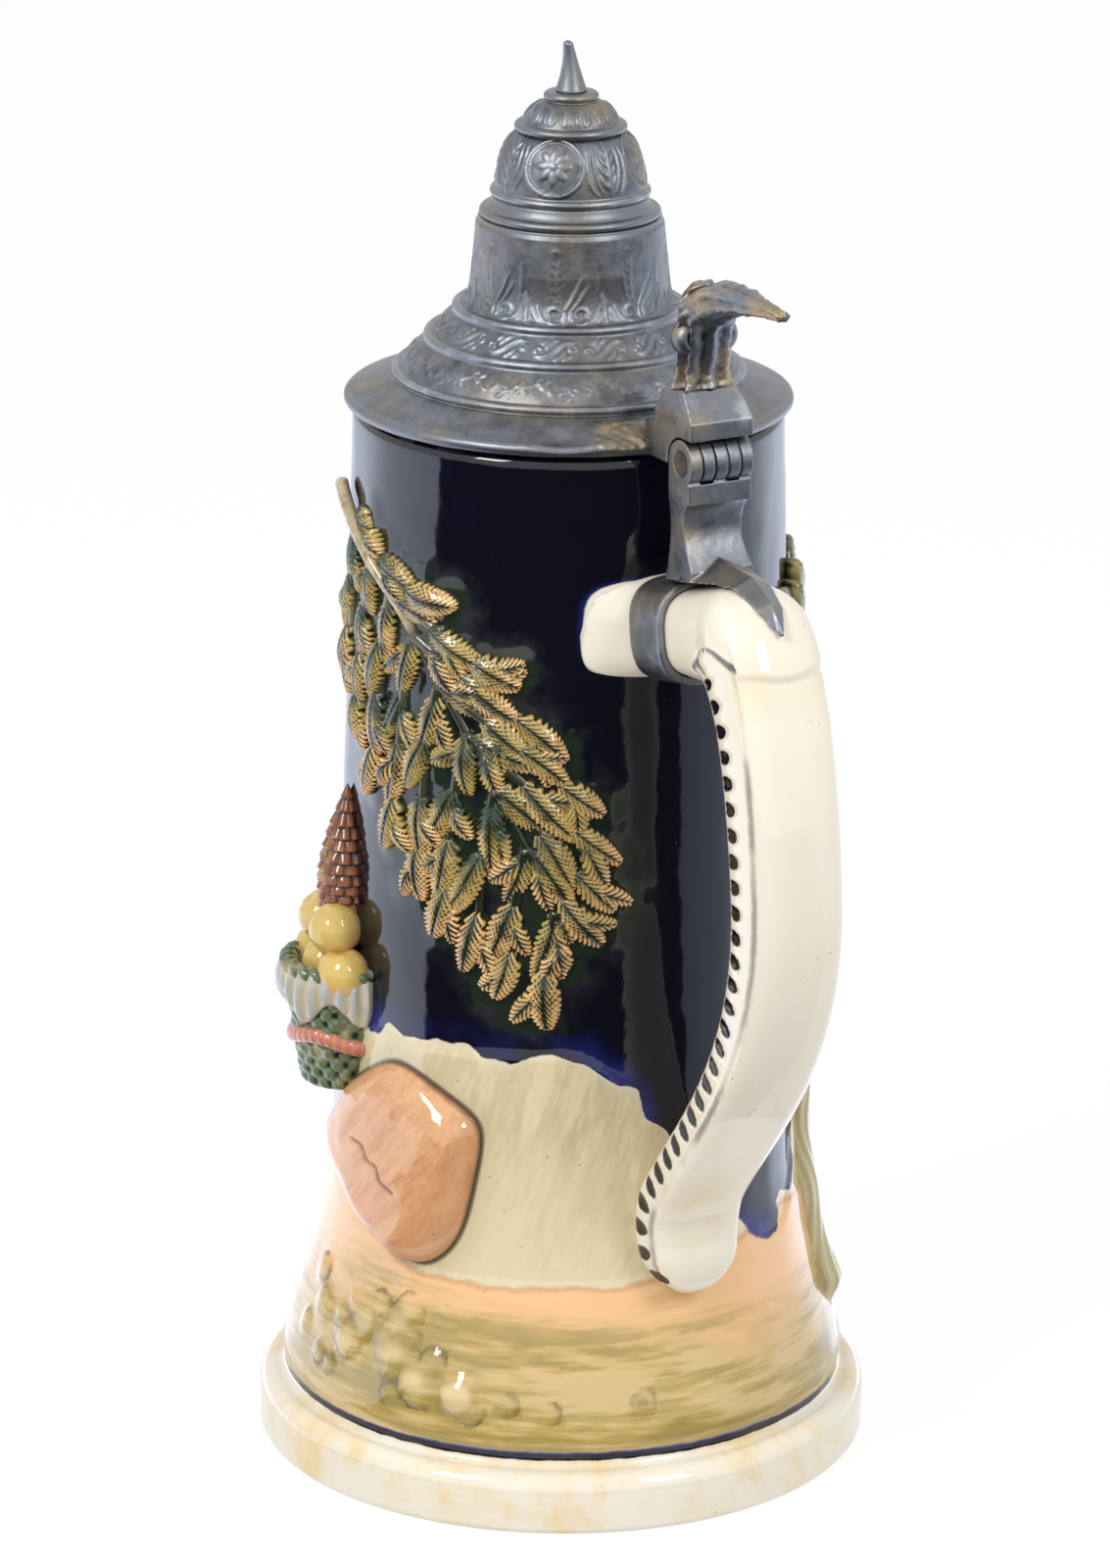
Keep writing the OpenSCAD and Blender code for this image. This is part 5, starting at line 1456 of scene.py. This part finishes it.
def bough_twig(i, side):
    """Root, heading, droop and length of a twig: longest in the middle, raised on one side of the bough."""
    r = settings("relief")
    turn, z = bough_at(np.float64((i + 1) / r.bough_twigs))
    t = i / (r.bough_twigs - 1)
    middle = math.sin(math.pi * (i + 1) / (r.bough_twigs + 1))
    if side < 0:
        heading, size = -14, r.hang_length * (0.62 + 0.38 * middle) * (1 - 0.3 * t ** 3)
    else:
        heading, size = 80 - 36 * t - 36 * t ** 10, r.raise_length * middle
    return turn, z, math.radians(heading), -side * math.radians(10), size


def bough_fronds():
    """Root, heading, length, lift, tone and width of fronds: a chain on each twig and one by each link."""
    r = settings("relief")
    rng = np.random.default_rng(23)
    rows = []
    for i in range(r.bough_twigs):
        for side in (-1, 1):
            turn, z, heading, droop, size = bough_twig(i, side)
            links = max(2, round(size / r.frond_pitch))
            reach = size / links
            tone = -0.34 + 0.24 * i / r.bough_twigs
            for k in range(links):
                share = (k + (k < links - 1) * rng.uniform(-0.12, 0.12)) / links
                sway = (-1) ** k * math.radians(rng.uniform(3, 13)) * (k < links - 1)
                way = heading + droop * share
                rows.append((*stray(turn, z, way, size * share), way + sway,
                             reach * (1.3 if k < links - 1 else 1.08),
                             (0.1 + 1.1 * share + 0.5 * rng.uniform()) * MM,
                             tone + 0.5 * share, rng.uniform(0.85, 1.15)))
                share += 0.35 / links
                way += (-1) ** (k + i) * math.radians(rng.uniform(24, 42))
                rows.append((*stray(turn, z, heading + droop * share, size * share), way,
                             reach * rng.uniform(0.7, 0.95),
                             (0.1 + 0.9 * share + 0.4 * rng.uniform()) * MM,
                             tone + 0.4 * share + rng.uniform(-0.2, 0.25), rng.uniform(0.65, 0.85)))
    return np.array(rows).T


def frond_stack():
    """Fronds as arched mounds over the wall: a sunk spine, needles in a herringbone and a toothed edge.

    Needle ridges run at |cos| of the distance along less the distance across. The back lies in the wall."""
    r = settings("relief")
    turn, z, heading, size, lift, tone, plump = (x[:, None, None] for x in bough_fronds())
    rng = np.random.default_rng(29)
    bend, arch = (rng.uniform(low, high, turn.shape) for low, high in ((-0.5, 0.4), (0, 0.9)))
    a = np.linspace(0, 1, FROND_ROWS)[None, :, None]
    b = np.linspace(-1, 1, FROND_COLUMNS)[None, None, :]
    shape = np.sin(np.pi * np.clip(0.05 + 0.92 * a ** 0.95, 0, 1)) ** 0.7
    half = r.frond_half_width * shape * plump
    phase = (a * size - np.abs(b) * half * 1.35) / NEEDLE_PITCH + rng.uniform(size=turn.shape)
    ridge = np.abs(np.cos(np.pi * phase))
    half = half * (0.70 + 0.46 * ridge * np.abs(b))
    spine = np.exp(-(b / 0.14) ** 2)
    dome = (0.2 + 1.3 * (1 - np.abs(b) ** 1.8)) * shape + arch * np.sin(np.pi * a)
    front = lift + MM * (dome + 0.5 * ridge * (1 - spine) * np.abs(b) ** 0.5 - 0.3 * spine * shape)
    close = ease(a / 0.05) * ease((1 - a) / 0.04)
    out, across = closed_mound(front, b * half, close)
    points = spread_on_wall(turn, z, heading + bend * a / 2, a * size, across, out)
    needle = ridge * (0.45 + 0.55 * np.abs(b)) - 0.35 * spine
    return Surface(points, needle=mound_field(needle, front), tip=a, tone=tone)


def cane(turn, z, radius, columns=12, sunk=0.3):
    """Round stem along a line on the wall, its middle a share of its radius out of the wall's face."""
    a = ring(columns)
    around = wall_radius(z)
    along = unit(np.stack([np.gradient(turn) * around, np.gradient(z)], -1))
    across, out = radius[:, None] * np.cos(a), radius[:, None] * (sunk + np.sin(a))
    aside = turn[:, None] - across * along[:, 1:] / around[:, None]
    return capped(settle(on_wall(aside, z[:, None] + across * along[:, :1], out)))


def build_boughs():
    """Stem, twigs and sprays of needles in one mesh."""
    r = settings("relief")
    s = np.linspace(0, 1, 90)
    proud = 0.1 + 1.3 * ease((0.42 - s) / 0.2)[:, None]
    stem = cane(*bough_at(s), (1.45 - 0.5 * s) * MM, sunk=proud)
    surfaces = [frond_stack(), Surface(stem, stem=ends(ease((0.5 - s) / 0.14)[:, None]))]
    t = np.linspace(0, 0.95, 30)
    for i in range(r.bough_twigs):
        for side in (-1, 1):
            turn, z, heading, droop, size = bough_twig(i, side)
            path = stray(turn, z, heading + droop * t, size * t)
            surfaces.append(Surface(cane(*path, (1.5 - 0.8 * t) * MM), stem=0.5 - 0.4 * i / r.bough_twigs))
    return make_piece("fir_bough_relief", surfaces, fir_glaze(), "tankard", "fir_glaze", "fir_boughs")


def fir_glaze():
    """Green pooled between the needles and deep in the bough, olive on them, ochre tips and a pale stem."""
    c = settings("glaze")

    def paint(n, specks):
        place = n.place()
        cloud = n.sway(place, 65.0, 4.0, 0.6)
        fine = n.sway(place, 420.0, 3.0)
        needle = n.plus(fine, 0.6, n.field("needle"))
        warmth = n.plus(cloud, 2.4, n.math("ADD", n.field("tip"), n.field("tone")))
        olive = n.mix(n.fade(warmth, -0.1, 0.35), (0.030, 0.052, 0.024), c.fir_olive)
        warm = n.mix(n.fade(warmth, 0.38, 0.95), olive, c.fir_tip)
        pooled = n.fade(n.plus(cloud, -0.8, needle), 0.16, 0.72)
        paint = n.mix(pooled, c.fir_dark, warm)
        stem = n.mix(n.fade(fine, -0.25, 0.15), (0.26, 0.19, 0.08), (0.56, 0.46, 0.28))
        return n.mix(n.fade(n.field("stem"), 0.2, 0.9), paint, stem)
    return glaze("fir_relief_glaze", paint, 0.3)


# Boulder

CRACK = [[-6.0, 2.6], [-3.0, 2.1], [-1.4, -0.4], [1.7, -1.1], [2.9, -3.9], [6.2, -5.4]]


def build_boulder():
    """Boulder as rays from its middle to its outline: a quarter round at the edge, flat faces and a ridge.

    Its height is the relief times the quarter circle of the distance in, less three sloping planes."""
    r, v = settings("relief"), settings("vessel")
    ray = ring(170)
    reach = boulder_reach(ray)
    share = np.sin(np.linspace(0, 0.5, 58) * np.pi)[:, None]
    across, up = share * reach * np.cos(ray), share * reach * np.sin(ray)
    depth = np.clip(reach * (1 - share) / r.boulder_out, 0, 1)
    rounding = np.sqrt(1 - (1 - depth) ** 2)
    ridge = 14 * MM + 0.5 * up
    plane = 1.04
    for past, slope in ((across - ridge, 26), (ridge - across, 120), (up - 9 * MM + 0.3 * across, 60)):
        plane = plane - np.clip(past, 0, None) / (slope * MM)
    place = np.stack([across, up, 0 * up], -1)
    zigzag = crack_gap(across, up)
    crack = np.minimum(zigzag, np.abs(across - ridge + 0.5 * MM * ripple(place, 9 * MM, 53)) + 0.5 * MM)
    rough = 1 + 0.06 * ripple(place, 13 * MM, 51) + 0.012 * ripple(place, 5 * MM, 52)
    height = r.boulder_out * rounding * plane * rough - 0.5 * MM * swell(zigzag / (0.9 * MM))
    turn, z = r.boulder_turn + across / wall_radius(r.boulder_height_at), r.boulder_height_at + up
    front = on_wall(turn, z, height)
    back = on_wall(turn[-1:], z[-1:], -v.key_depth)
    middle = on_wall(r.boulder_turn, np.float64(r.boulder_height_at), -v.key_depth)
    points = np.concatenate([front, back, np.broadcast_to(middle, back.shape)])
    pad = [(0, 2), (0, 0)]
    surface = Surface(points, rim=np.pad(depth, pad), crack=np.pad(crack, pad, "edge"),
                      side=np.pad(ease((across - ridge) / (1.2 * MM) + 0.5), pad, "edge"))
    return make_piece("boulder_relief", [surface], stone_glaze(), "tankard", "stone_glaze", "boulder")


def crack_gap(across, up):
    """Distance to a zigzag crack on the boulder's face."""
    zigzag = np.array(CRACK) * MM
    gap = np.full(across.shape, 1.0)
    for a, b in zip(zigzag, zigzag[1:]):
        edge = b - a
        t = np.clip(((across - a[0]) * edge[0] + (up - a[1]) * edge[1]) / (edge @ edge), 0, 1)
        gap = np.minimum(gap, np.hypot(across - a[0] - t * edge[0], up - a[1] - t * edge[1]))
    return gap


def stone_glaze():
    """Brushed orange tan, darker at the rim and on the shaded face, with an inked crack."""
    c = settings("glaze")

    def paint(n, specks):
        tan = n.group(brush_marks(), Ground=c.stone, Stroke=c.stone_dark, Lengths=(0.03, 0.0032, 0.0032),
                      Turn=STONE_STROKES)["Colour"]
        tan = n.mix(0.8, c.stone, tan)
        tan = n.mix(n.plus(n.field("side"), 0.4, 0.1), tan, c.stone_dark)
        light = n.times(n.fade(n.field("rim"), 0.12, 0.35), n.fade(n.field("rim"), 0.75, 0.4))
        tan = n.lay(tan, (0.70, 0.42, 0.22), light, 0.35)
        tan = n.lay(tan, c.ink, n.fade(n.field("rim"), 0.12, 0.0), 0.9)
        tan = n.lay(tan, (0.07, 0.045, 0.03), n.fade(n.field("crack"), 0.65 * MM, 0.15 * MM), 0.6)
        return n.lay(tan, c.ink, specks, 0.6)
    return glaze("boulder_stone_glaze", paint, 0.4)


# Fruit basket

def basket_axis(out):
    """Point on the basket's axis line at a distance out from the wall at its foot, and the foot's height."""
    r = settings("relief")
    z = r.boulder_height_at + r.boulder_height / 2 - r.basket_drop
    radius = wall_radius(z) + out
    return np.array([radius * math.cos(r.basket_turn), radius * math.sin(r.basket_turn)]), z


def upright(radius, height, around, centre):
    """Points at a radius and a height about an upright axis."""
    x, y = centre[0] + radius * np.cos(around), centre[1] + radius * np.sin(around)
    return np.stack(np.broadcast_arrays(x, y, height), -1)


def basket_piece(name, surfaces, finish, light, dark, *nodes):
    """Piece of the basket in a glaze of its own."""
    make_piece(name, surfaces, plain_relief(finish, light, dark), "tankard", "basket_glaze", *nodes)


def build_basket():
    """Woven basket, fluted swag, ribbon, fruit and cone, each seated against the wall."""
    r, v = settings("relief"), settings("vessel")
    centre, foot = basket_axis(-v.key_depth)
    brim = foot + r.basket_height
    turn, a = ring(144), ring(20)[:, None]
    s = np.linspace(0, 1, 64)[:, None]

    def seated(radius, height):
        return settle(upright(radius, height, turn, centre))
    lane = s * 11
    over = np.cos(turn * 18 + np.pi * np.floor(lane)) * np.abs(np.sin(np.pi * lane)) ** 0.7
    radius = r.basket_radius * (0.74 + 0.24 * s + 0.03 * np.sin(np.pi * s)) + 0.45 * MM * over
    woven = seated(radius, foot + 0.3 * MM + s * (r.basket_height - MM))
    plait = 1 + 0.22 * np.cos(26 * turn + 2 * a)
    rope = seated(r.basket_radius * 0.97 + 1.5 * MM * plait * np.cos(a), brim + 1.5 * MM * plait * np.sin(a))
    wicker = [Surface(capped(woven), needle=ends(0.5 + 0.5 * over)),
              Surface(rope, loop_rows=True, needle=plait - 0.6)]
    basket_piece("basket_relief", wicker, "wicker_glaze", "leaf", "fir_dark", "fruit_basket")
    gather = 0.5 + 0.5 * np.cos(6 * (turn - r.basket_turn))
    drop = (3.0 + 5.0 * (1 - gather)) * MM
    fold = 1 + 0.30 * np.cos(30 * turn + 1.2 * np.sin(3 * turn))
    swag = seated(r.basket_radius * 0.95 + 2.2 * MM * np.cos(a) * fold,
                  brim - 1.0 * MM - drop * 0.5 + (2.2 * MM + drop * 0.5) * np.sin(a))
    cloth = Surface(swag, loop_rows=True, needle=fold - 0.6)
    basket_piece("basket_swag", [cloth], "linen_glaze", "linen", "hill_dark")
    band = seated(r.basket_radius * 0.86 + 1.5 * MM * np.cos(a) * (1 + 0.12 * np.cos(40 * turn)),
                  foot + 0.42 * r.basket_height + 1.8 * MM * np.sin(a) + 1.2 * MM * np.cos(3 * (turn - 1)))
    ribbon = Surface(band, loop_rows=True, needle=0.5 + 0.5 * np.cos(40 * turn))
    basket_piece("basket_ribbon", [ribbon], "rose_glaze", "rose", "stone_dark")
    build_fruit(brim)
    build_cone(brim)


def build_fruit(brim):
    """Heaped fruit: spheres with a dimple at the stalk end, three in the lower row and two in the upper."""
    r = settings("relief")
    step = 1.5 * r.fruit_radius
    row = np.array([0, 0, 0, 1, 1])
    place = np.array([0, 1, 2, 0, 1]) - 1 + row / 2
    turn = r.basket_turn + place * step / wall_radius(brim)
    middle = on_wall(turn, brim + row * step, r.fruit_radius * 0.7)[:, None, None, :]
    polar = np.linspace(0, np.pi, 34)[None, :, None]
    around = ring(48)[None, None, :]
    tilt = (0.5 + 0.4 * np.sin(2.3 * np.arange(5)))[:, None, None]
    dimple, lobes = 0.22 * np.exp(-(polar / 0.32) ** 2), 0.02 * np.cos(5 * around) * np.sin(polar)
    radius = r.fruit_radius * (1 - dimple + lobes)
    girth = radius * np.sin(polar)
    x, y, z = girth * np.cos(around), girth * np.sin(around), radius * np.cos(polar)
    outward = np.stack([np.cos(turn), np.sin(turn)], -1)[:, None, None]
    lean_x = x * np.cos(tilt) + z * np.sin(tilt)
    local = np.stack(np.broadcast_arrays(lean_x * outward[..., 0] - y * outward[..., 1],
                                         lean_x * outward[..., 1] + y * outward[..., 0],
                                         -x * np.sin(tilt) + z * np.cos(tilt)), -1)
    fruit = Surface(settle(middle + local), needle=0.5 + 0.5 * np.cos(polar))
    basket_piece("basket_fruit", [fruit], "fruit_glaze", "straw", "stone")


def build_cone(brim):
    """Fir cone: an egg whose surface rises in rows of overlapping scales, each thick at its lower lip."""
    r = settings("relief")
    s = np.linspace(0, 1, 110)[:, None]
    around = ring(130)[None]
    egg = bow((r.cone_radius * 0.6, 0), (r.cone_radius * 1.3, r.cone_height * 0.35), (0, r.cone_height), 110)
    lane = s * 13
    within = lane - np.floor(lane)
    shift = 0.5 * (np.floor(lane) % 2)
    across = (around * 11 / FULL_TURN + shift) % 1 - 0.5
    scale = (1 - within) ** 0.6 * np.clip(1 - (2 * across) ** 2, 0, 1) ** 0.5
    radius = egg[:, :1] * (0.90 + 0.20 * scale)
    base = on_wall(r.basket_turn, np.float64(brim + 1.5 * r.fruit_radius), 0.0)
    points = upright(radius, base[2] + egg[:, 1:] + 0 * around, around, base[:2])
    cone = Surface(capped(settle(points)), needle=ends(scale))
    basket_piece("basket_cone", [cone], "cone_glaze", "russet", "ink")


def plain_relief(name, light, dark):
    """Glaze that pools dark where the needle field is low and breaks light where it is high, with clouds."""
    c = settings("glaze")

    def paint(n, specks):
        cloud = n.sway(n.place(), 160.0, 4.0, 0.6)
        worn = n.plus(cloud, 0.7, n.field("needle"))
        both = n.mix(n.fade(worn, 0.02, 0.55), getattr(c, dark), getattr(c, light))
        both = n.lay(both, c.cream_warm, n.fade(cloud, 0.02, 0.22), 0.4)
        return n.lay(both, c.ink, specks, 0.5)
    return glaze(name, paint, 0.5)


# Tree

TRUNK_COLUMNS, TUFT_LEAVES = 40, 12
TUFT_REACH = [0.02, 0.30, 0.52, 0.75]


def build_tree():
    """Trunk with furrowed bark and tufts of pointed leaves round its fork."""
    r = settings("relief")
    s = np.linspace(0, 1, 150)
    turn = r.trunk_turn - r.trunk_lean + 2 * r.trunk_lean * s + 0.018 * np.sin(9 * s)
    z = r.trunk_foot + (r.trunk_top - r.trunk_foot) * s
    girth = r.trunk_radius * (1 - 0.4 * s) * (1 + 0.07 * np.sin(40 * s) + 0.2 * np.exp(-s / 0.06))
    sunk = 0.25 - (ease(1 - s / 0.05) + 1.2 * ease((s - 0.94) / 0.06))[:, None]
    trunk = cane(turn, z, girth, TRUNK_COLUMNS, sunk)
    furrow = np.sin(ring(TRUNK_COLUMNS) * 9 + 5 * np.sin(26 * np.pad(s, 1, "edge"))[:, None])
    centre = trunk.mean(1, keepdims=True)
    trunk = settle(centre + (trunk - centre) * (1 + 0.07 * furrow)[..., None])
    surfaces = [Surface(trunk, needle=0.5 + 0.5 * furrow, stem=1.0), leaf_tufts()]
    return make_piece("tree_relief", surfaces, tree_glaze(), "tankard", "bark_glaze", "tree")


def leaf_tufts():
    """Leaves as pointed mounds fanned round the end of each tuft, with a midrib and slanting veins."""
    r = settings("relief")
    rng = np.random.default_rng(37)
    fork = r.trunk_turn + r.trunk_lean
    heading = FULL_TURN * (np.arange(r.tufts) + 0.5) / r.tufts
    reach = r.tuft_length * np.array(TUFT_REACH)
    base = [stray(fork, r.trunk_top, h + rng.uniform(-0.35, 0.35), reach[k % 4] * rng.uniform(0.8, 1.1))
            + (h + math.radians(rng.uniform(-50, 50)), rng.uniform(9, 13) * MM, rng.uniform(0.6, 2.6) * MM)
            for h in heading for k in range(TUFT_LEAVES)]
    turn, z, way, size, lift = (x[:, None, None] for x in np.array(base).T)
    a = np.linspace(0, 1, 18)[None, :, None]
    b = np.linspace(-1, 1, 9)[None, None, :]
    half = 0.27 * size * np.sin(np.pi * a ** 0.8) ** 0.8
    rib = np.exp(-(b / 0.2) ** 2)
    vein = np.abs(np.cos(np.pi * (a * 7 - np.abs(b) * 1.6)))
    dome = (0.4 + 0.9 * (1 - b * b)) * MM * np.sin(np.pi * a) ** 0.5
    front = lift + dome + 0.25 * MM * vein + 0.3 * MM * rib
    out, across = closed_mound(front, b * half, ease(a / 0.07) * ease((1 - a) / 0.07))
    needle = mound_field(0.45 * vein + 0.4 * np.abs(b) + 0.3 * rib, front)
    return Surface(spread_on_wall(turn, z, way, a * size, across, out), needle=needle, tip=a)


def tree_glaze():
    """Olive bark with dark furrows, and green leaves that turn ochre at their tips."""
    c = settings("glaze")

    def paint(n, specks):
        cloud = n.sway(n.place(), 90.0, 4.0, 0.6)
        needle = n.plus(cloud, 0.8, n.field("needle"))
        ripe = n.fade(n.math("ADD", n.field("tip"), cloud), 0.65, 1.3)
        leaf = n.mix(ripe, (0.22, 0.20, 0.065), c.fir_olive)
        leaf = n.mix(n.fade(needle, 0.25, 0.75), c.fir_dark, leaf)
        bark = n.mix(n.fade(needle, 0.1, 0.7), c.hill_dark, c.bark)
        return n.mix(n.field("stem"), leaf, bark)
    return glaze("bark_leaf_glaze", paint, 0.5)


# Stage

WHITE = (1.0, 1.0, 1.0)
CARD_INNER, CARD_OUTER, CARD_HEIGHT = 0.09, 3.0, 1.5 * MM
GLOW_AT = [-180, -150, -135, -123, -108, -72, -70.5, -70, 58, 58.5, 82, 100, 110, 119, 126, 141, 152, 180]
GLOW = [1.0, 1.5, 2.4, 2.5, 2.1, 1.9, 1.7, 0.02, 0.02, 0.6, 0.9, 1.6, 1.5, 2.2, 2.4, 2.2, 1.6, 1.0]
FLOOR_RADIUS, FLOOR_SEEN, FLOOR_GLOW = 9.0, 0.86, 0.6
AIM_HEIGHT, SOFTBOX_DISTANCE, CLIP_END = 0.13, 1.35, 50.0
SOFTBOXES = {"left": (-45, 40, 0.34, 0.5), "right": (45, 36, 0.3, 0.45)}


def view_frame():
    """Unit vectors on the floor from the tankard towards the camera and to the camera's right."""
    azimuth = settings("stage").azimuth
    sine, cosine = math.sin(azimuth), math.cos(azimuth)
    return Vector((sine, -cosine, 0)), Vector((cosine, sine, 0))


def build_camera():
    """Camera at its azimuth, distance and height, pitched, turned and rolled by small measured angles."""
    st = settings("stage")
    toward, right = view_frame()
    level = -toward * math.cos(st.yaw) + right * math.sin(st.yaw)
    ahead = level * math.cos(st.pitch) - Vector((0, 0, math.sin(st.pitch)))
    side = right * math.cos(st.yaw) + toward * math.sin(st.yaw)
    up = side.cross(ahead)
    rolled = side * math.cos(st.roll) + up * math.sin(st.roll)
    above = up * math.cos(st.roll) - side * math.sin(st.roll)
    data = bpy.data.cameras.new("camera")
    data.lens, data.clip_end = st.lens, CLIP_END
    camera = bpy.data.objects.new("camera", data)
    turn = Matrix((rolled, above, -ahead)).transposed().to_4x4()
    camera.matrix_world = Matrix.Translation(toward * st.distance + Vector((0, 0, st.height))) @ turn
    bpy.context.scene.collection.objects.link(camera)
    bpy.context.scene.camera = camera


def build_softboxes():
    """Lamps that face the tankard, by an angle to the camera's side, an elevation, a width and a height."""
    toward, right = view_frame()
    aim = Vector((0, 0, AIM_HEIGHT))
    for name, (sideways, elevation, width, height) in SOFTBOXES.items():
        sideways, elevation = math.radians(sideways), math.radians(elevation)
        flat = toward * math.cos(sideways) + right * math.sin(sideways)
        level = AIM_HEIGHT + math.sin(elevation) * SOFTBOX_DISTANCE
        place = flat * math.cos(elevation) * SOFTBOX_DISTANCE + Vector((0, 0, level))
        data = bpy.data.lights.new("softbox_" + name, "AREA")
        data.shape, data.size, data.size_y = "RECTANGLE", width, height
        data.energy = getattr(settings("stage"), name)
        lamp = bpy.data.objects.new("softbox_" + name, data)
        facing = (aim - place).to_track_quat("-Z", "Y").to_matrix().to_4x4()
        lamp.matrix_world = Matrix.Translation(place) @ facing
        bpy.context.scene.collection.objects.link(lamp)


def seen_rays(n):
    """1 for rays from the camera, from reflections and through glass, 0 for rays that only bring light."""
    path = n.add("LightPath").outputs
    direct = n.math("MAXIMUM", path["Is Camera Ray"], path["Is Glossy Ray"])
    return n.math("MAXIMUM", direct, path["Is Transmission Ray"])


def build_world():
    """White room for the camera and for reflections, and a plain level of light from all round."""
    world = bpy.data.worlds.new("room")
    world.use_nodes = True
    n = Shade(world.node_tree)
    plain = settings("stage").world
    background = world.node_tree.nodes["Background"]
    n.fill(background, {"Strength": n.plus(seen_rays(n), 1.0 - plain, plain), "Color": WHITE})
    bpy.context.scene.world = world


def glowing(name, base, roughness, glow, strength):
    """Matt material that glows in a colour, by a strength that a function finds from the tree."""
    material, n, shader = new_material(name)
    n.fill(shader, {"Base Color": base, "Roughness": roughness, "Specular IOR Level": 0.0,
                    "Emission Color": glow, "Emission Strength": strength(n)})
    return material


def build_floor():
    """Round floor, lit from within as well as from above, so that it is white and its shadow stays faint."""
    points, _ = lathe(line((0, 0), (FLOOR_RADIUS, 0), 12), 96)

    def strength(n):
        return n.plus(seen_rays(n), FLOOR_SEEN - FLOOR_GLOW, FLOOR_GLOW)
    stage_object("floor", Surface(points), glowing("floor_white", (0.16, 0.16, 0.165), 0.9, WHITE, strength))


def stage_object(name, surface, material):
    """Object that belongs to the stage."""
    mesh = surface_mesh(name, [surface])
    mesh.materials.append(material)
    thing = bpy.data.objects.new(name, mesh)
    bpy.context.scene.collection.objects.link(thing)
    return thing


def build_flag():
    """Card on the floor round the tankard, seen only in reflections: dark before it, bright to both sides.

    Its glow comes from a table by the angle from the camera, in degrees."""
    toward, right = view_frame()
    s, t = np.linspace(0, 1, 60)[:, None], np.linspace(0, 1, 361)[None]
    r = CARD_INNER + (CARD_OUTER - CARD_INNER) * s ** 2
    side = -math.pi + FULL_TURN * t
    flat = np.stack([np.cos(side), np.sin(side)], -1)
    points = r[..., None] * (flat[..., :1] * np.array(toward) + flat[..., 1:] * np.array(right))
    points[..., 2] = CARD_HEIGHT
    card = Surface(points, loop_cols=False, glow=np.interp(np.degrees(side), GLOW_AT, GLOW))
    # painted reflection: the card is dark before the camera and glows to the sides; it is seen only in
    # reflections and lights nothing
    black = glowing("flag_black", (0.02, 0.02, 0.025), 1.0, (0.78, 0.84, 1.0), lambda n: n.field("glow"))
    flag = stage_object("flag", card, black)
    flag.visible_camera = flag.visible_diffuse = flag.visible_shadow = flag.visible_transmission = False


# Operators

class TANKARD_OT_vessel(bpy.types.Operator):
    """Build the glazed body with its hill, ground and foot"""
    bl_idname = "tankard.vessel"
    bl_label = "Vessel"

    def execute(self, context):
        build_vessel()
        return {"FINISHED"}


class TANKARD_OT_handle(bpy.types.Operator):
    """Build the glazed handle with its row of dots"""
    bl_idname = "tankard.handle"
    bl_label = "Handle"

    def execute(self, context):
        build_handle()
        return {"FINISHED"}


class TANKARD_OT_hinge(bpy.types.Operator):
    """Build the strap, shank, leaf and pin"""
    bl_idname = "tankard.hinge"
    bl_label = "Hinge"

    def execute(self, context):
        build_hinge()
        return {"FINISHED"}


class TANKARD_OT_lid(bpy.types.Operator):
    """Build the cast lid and its finial"""
    bl_idname = "tankard.lid"
    bl_label = "Lid"

    def execute(self, context):
        build_lid()
        return {"FINISHED"}


class TANKARD_OT_thumblift(bpy.types.Operator):
    """Build the cast thumblift"""
    bl_idname = "tankard.thumblift"
    bl_label = "Thumblift"

    def execute(self, context):
        build_thumblift()
        return {"FINISHED"}


class TANKARD_OT_boughs(bpy.types.Operator):
    """Build the fir boughs"""
    bl_idname = "tankard.boughs"
    bl_label = "Fir boughs"

    def execute(self, context):
        build_boughs()
        return {"FINISHED"}


class TANKARD_OT_boulder(bpy.types.Operator):
    """Build the boulder"""
    bl_idname = "tankard.boulder"
    bl_label = "Boulder"

    def execute(self, context):
        build_boulder()
        return {"FINISHED"}


class TANKARD_OT_basket(bpy.types.Operator):
    """Build the basket, its swag and ribbon, the fruit and the cone"""
    bl_idname = "tankard.basket"
    bl_label = "Fruit basket"

    def execute(self, context):
        build_basket()
        return {"FINISHED"}


class TANKARD_OT_tree(bpy.types.Operator):
    """Build the tree"""
    bl_idname = "tankard.tree"
    bl_label = "Tree"

    def execute(self, context):
        build_tree()
        return {"FINISHED"}


class TANKARD_OT_stage(bpy.types.Operator):
    """Build the floor, the light and the camera"""
    bl_idname = "tankard.stage"
    bl_label = "Stage"

    def execute(self, context):
        build_world()
        build_floor()
        build_flag()
        build_softboxes()
        build_camera()
        context.scene.view_settings.view_transform = "Standard"
        return {"FINISHED"}


BUILDERS = (TANKARD_OT_vessel, TANKARD_OT_handle, TANKARD_OT_hinge, TANKARD_OT_lid, TANKARD_OT_thumblift,
            TANKARD_OT_boughs, TANKARD_OT_boulder, TANKARD_OT_basket, TANKARD_OT_tree, TANKARD_OT_stage)


class TANKARD_PT_panel(bpy.types.Panel):
    """Sidebar panel with a button for each group of pieces"""
    bl_idname = "TANKARD_PT_panel"
    bl_label = "Tankard"
    bl_space_type = "VIEW_3D"
    bl_region_type = "UI"
    bl_category = "Tankard"

    def draw(self, context):
        for builder in BUILDERS:
            self.layout.operator(builder.bl_idname)


CLASSES = (*GROUPS.values(), *BUILDERS, TANKARD_PT_panel)


def register():
    """Register the classes and hang the property groups on the scene."""
    for kind in CLASSES:
        bpy.utils.register_class(kind)
    for name, group in GROUPS.items():
        setattr(bpy.types.Scene, "tankard_" + name, PointerProperty(type=group))


def unregister():
    """Take the property groups off the scene and unregister the classes."""
    for name in GROUPS:
        delattr(bpy.types.Scene, "tankard_" + name)
    for kind in reversed(CLASSES):
        bpy.utils.unregister_class(kind)


def main():
    register()
    for builder in BUILDERS:
        group, name = builder.bl_idname.split(".")
        getattr(getattr(bpy.ops, group), name)()


if __name__ == "__main__":
    main()
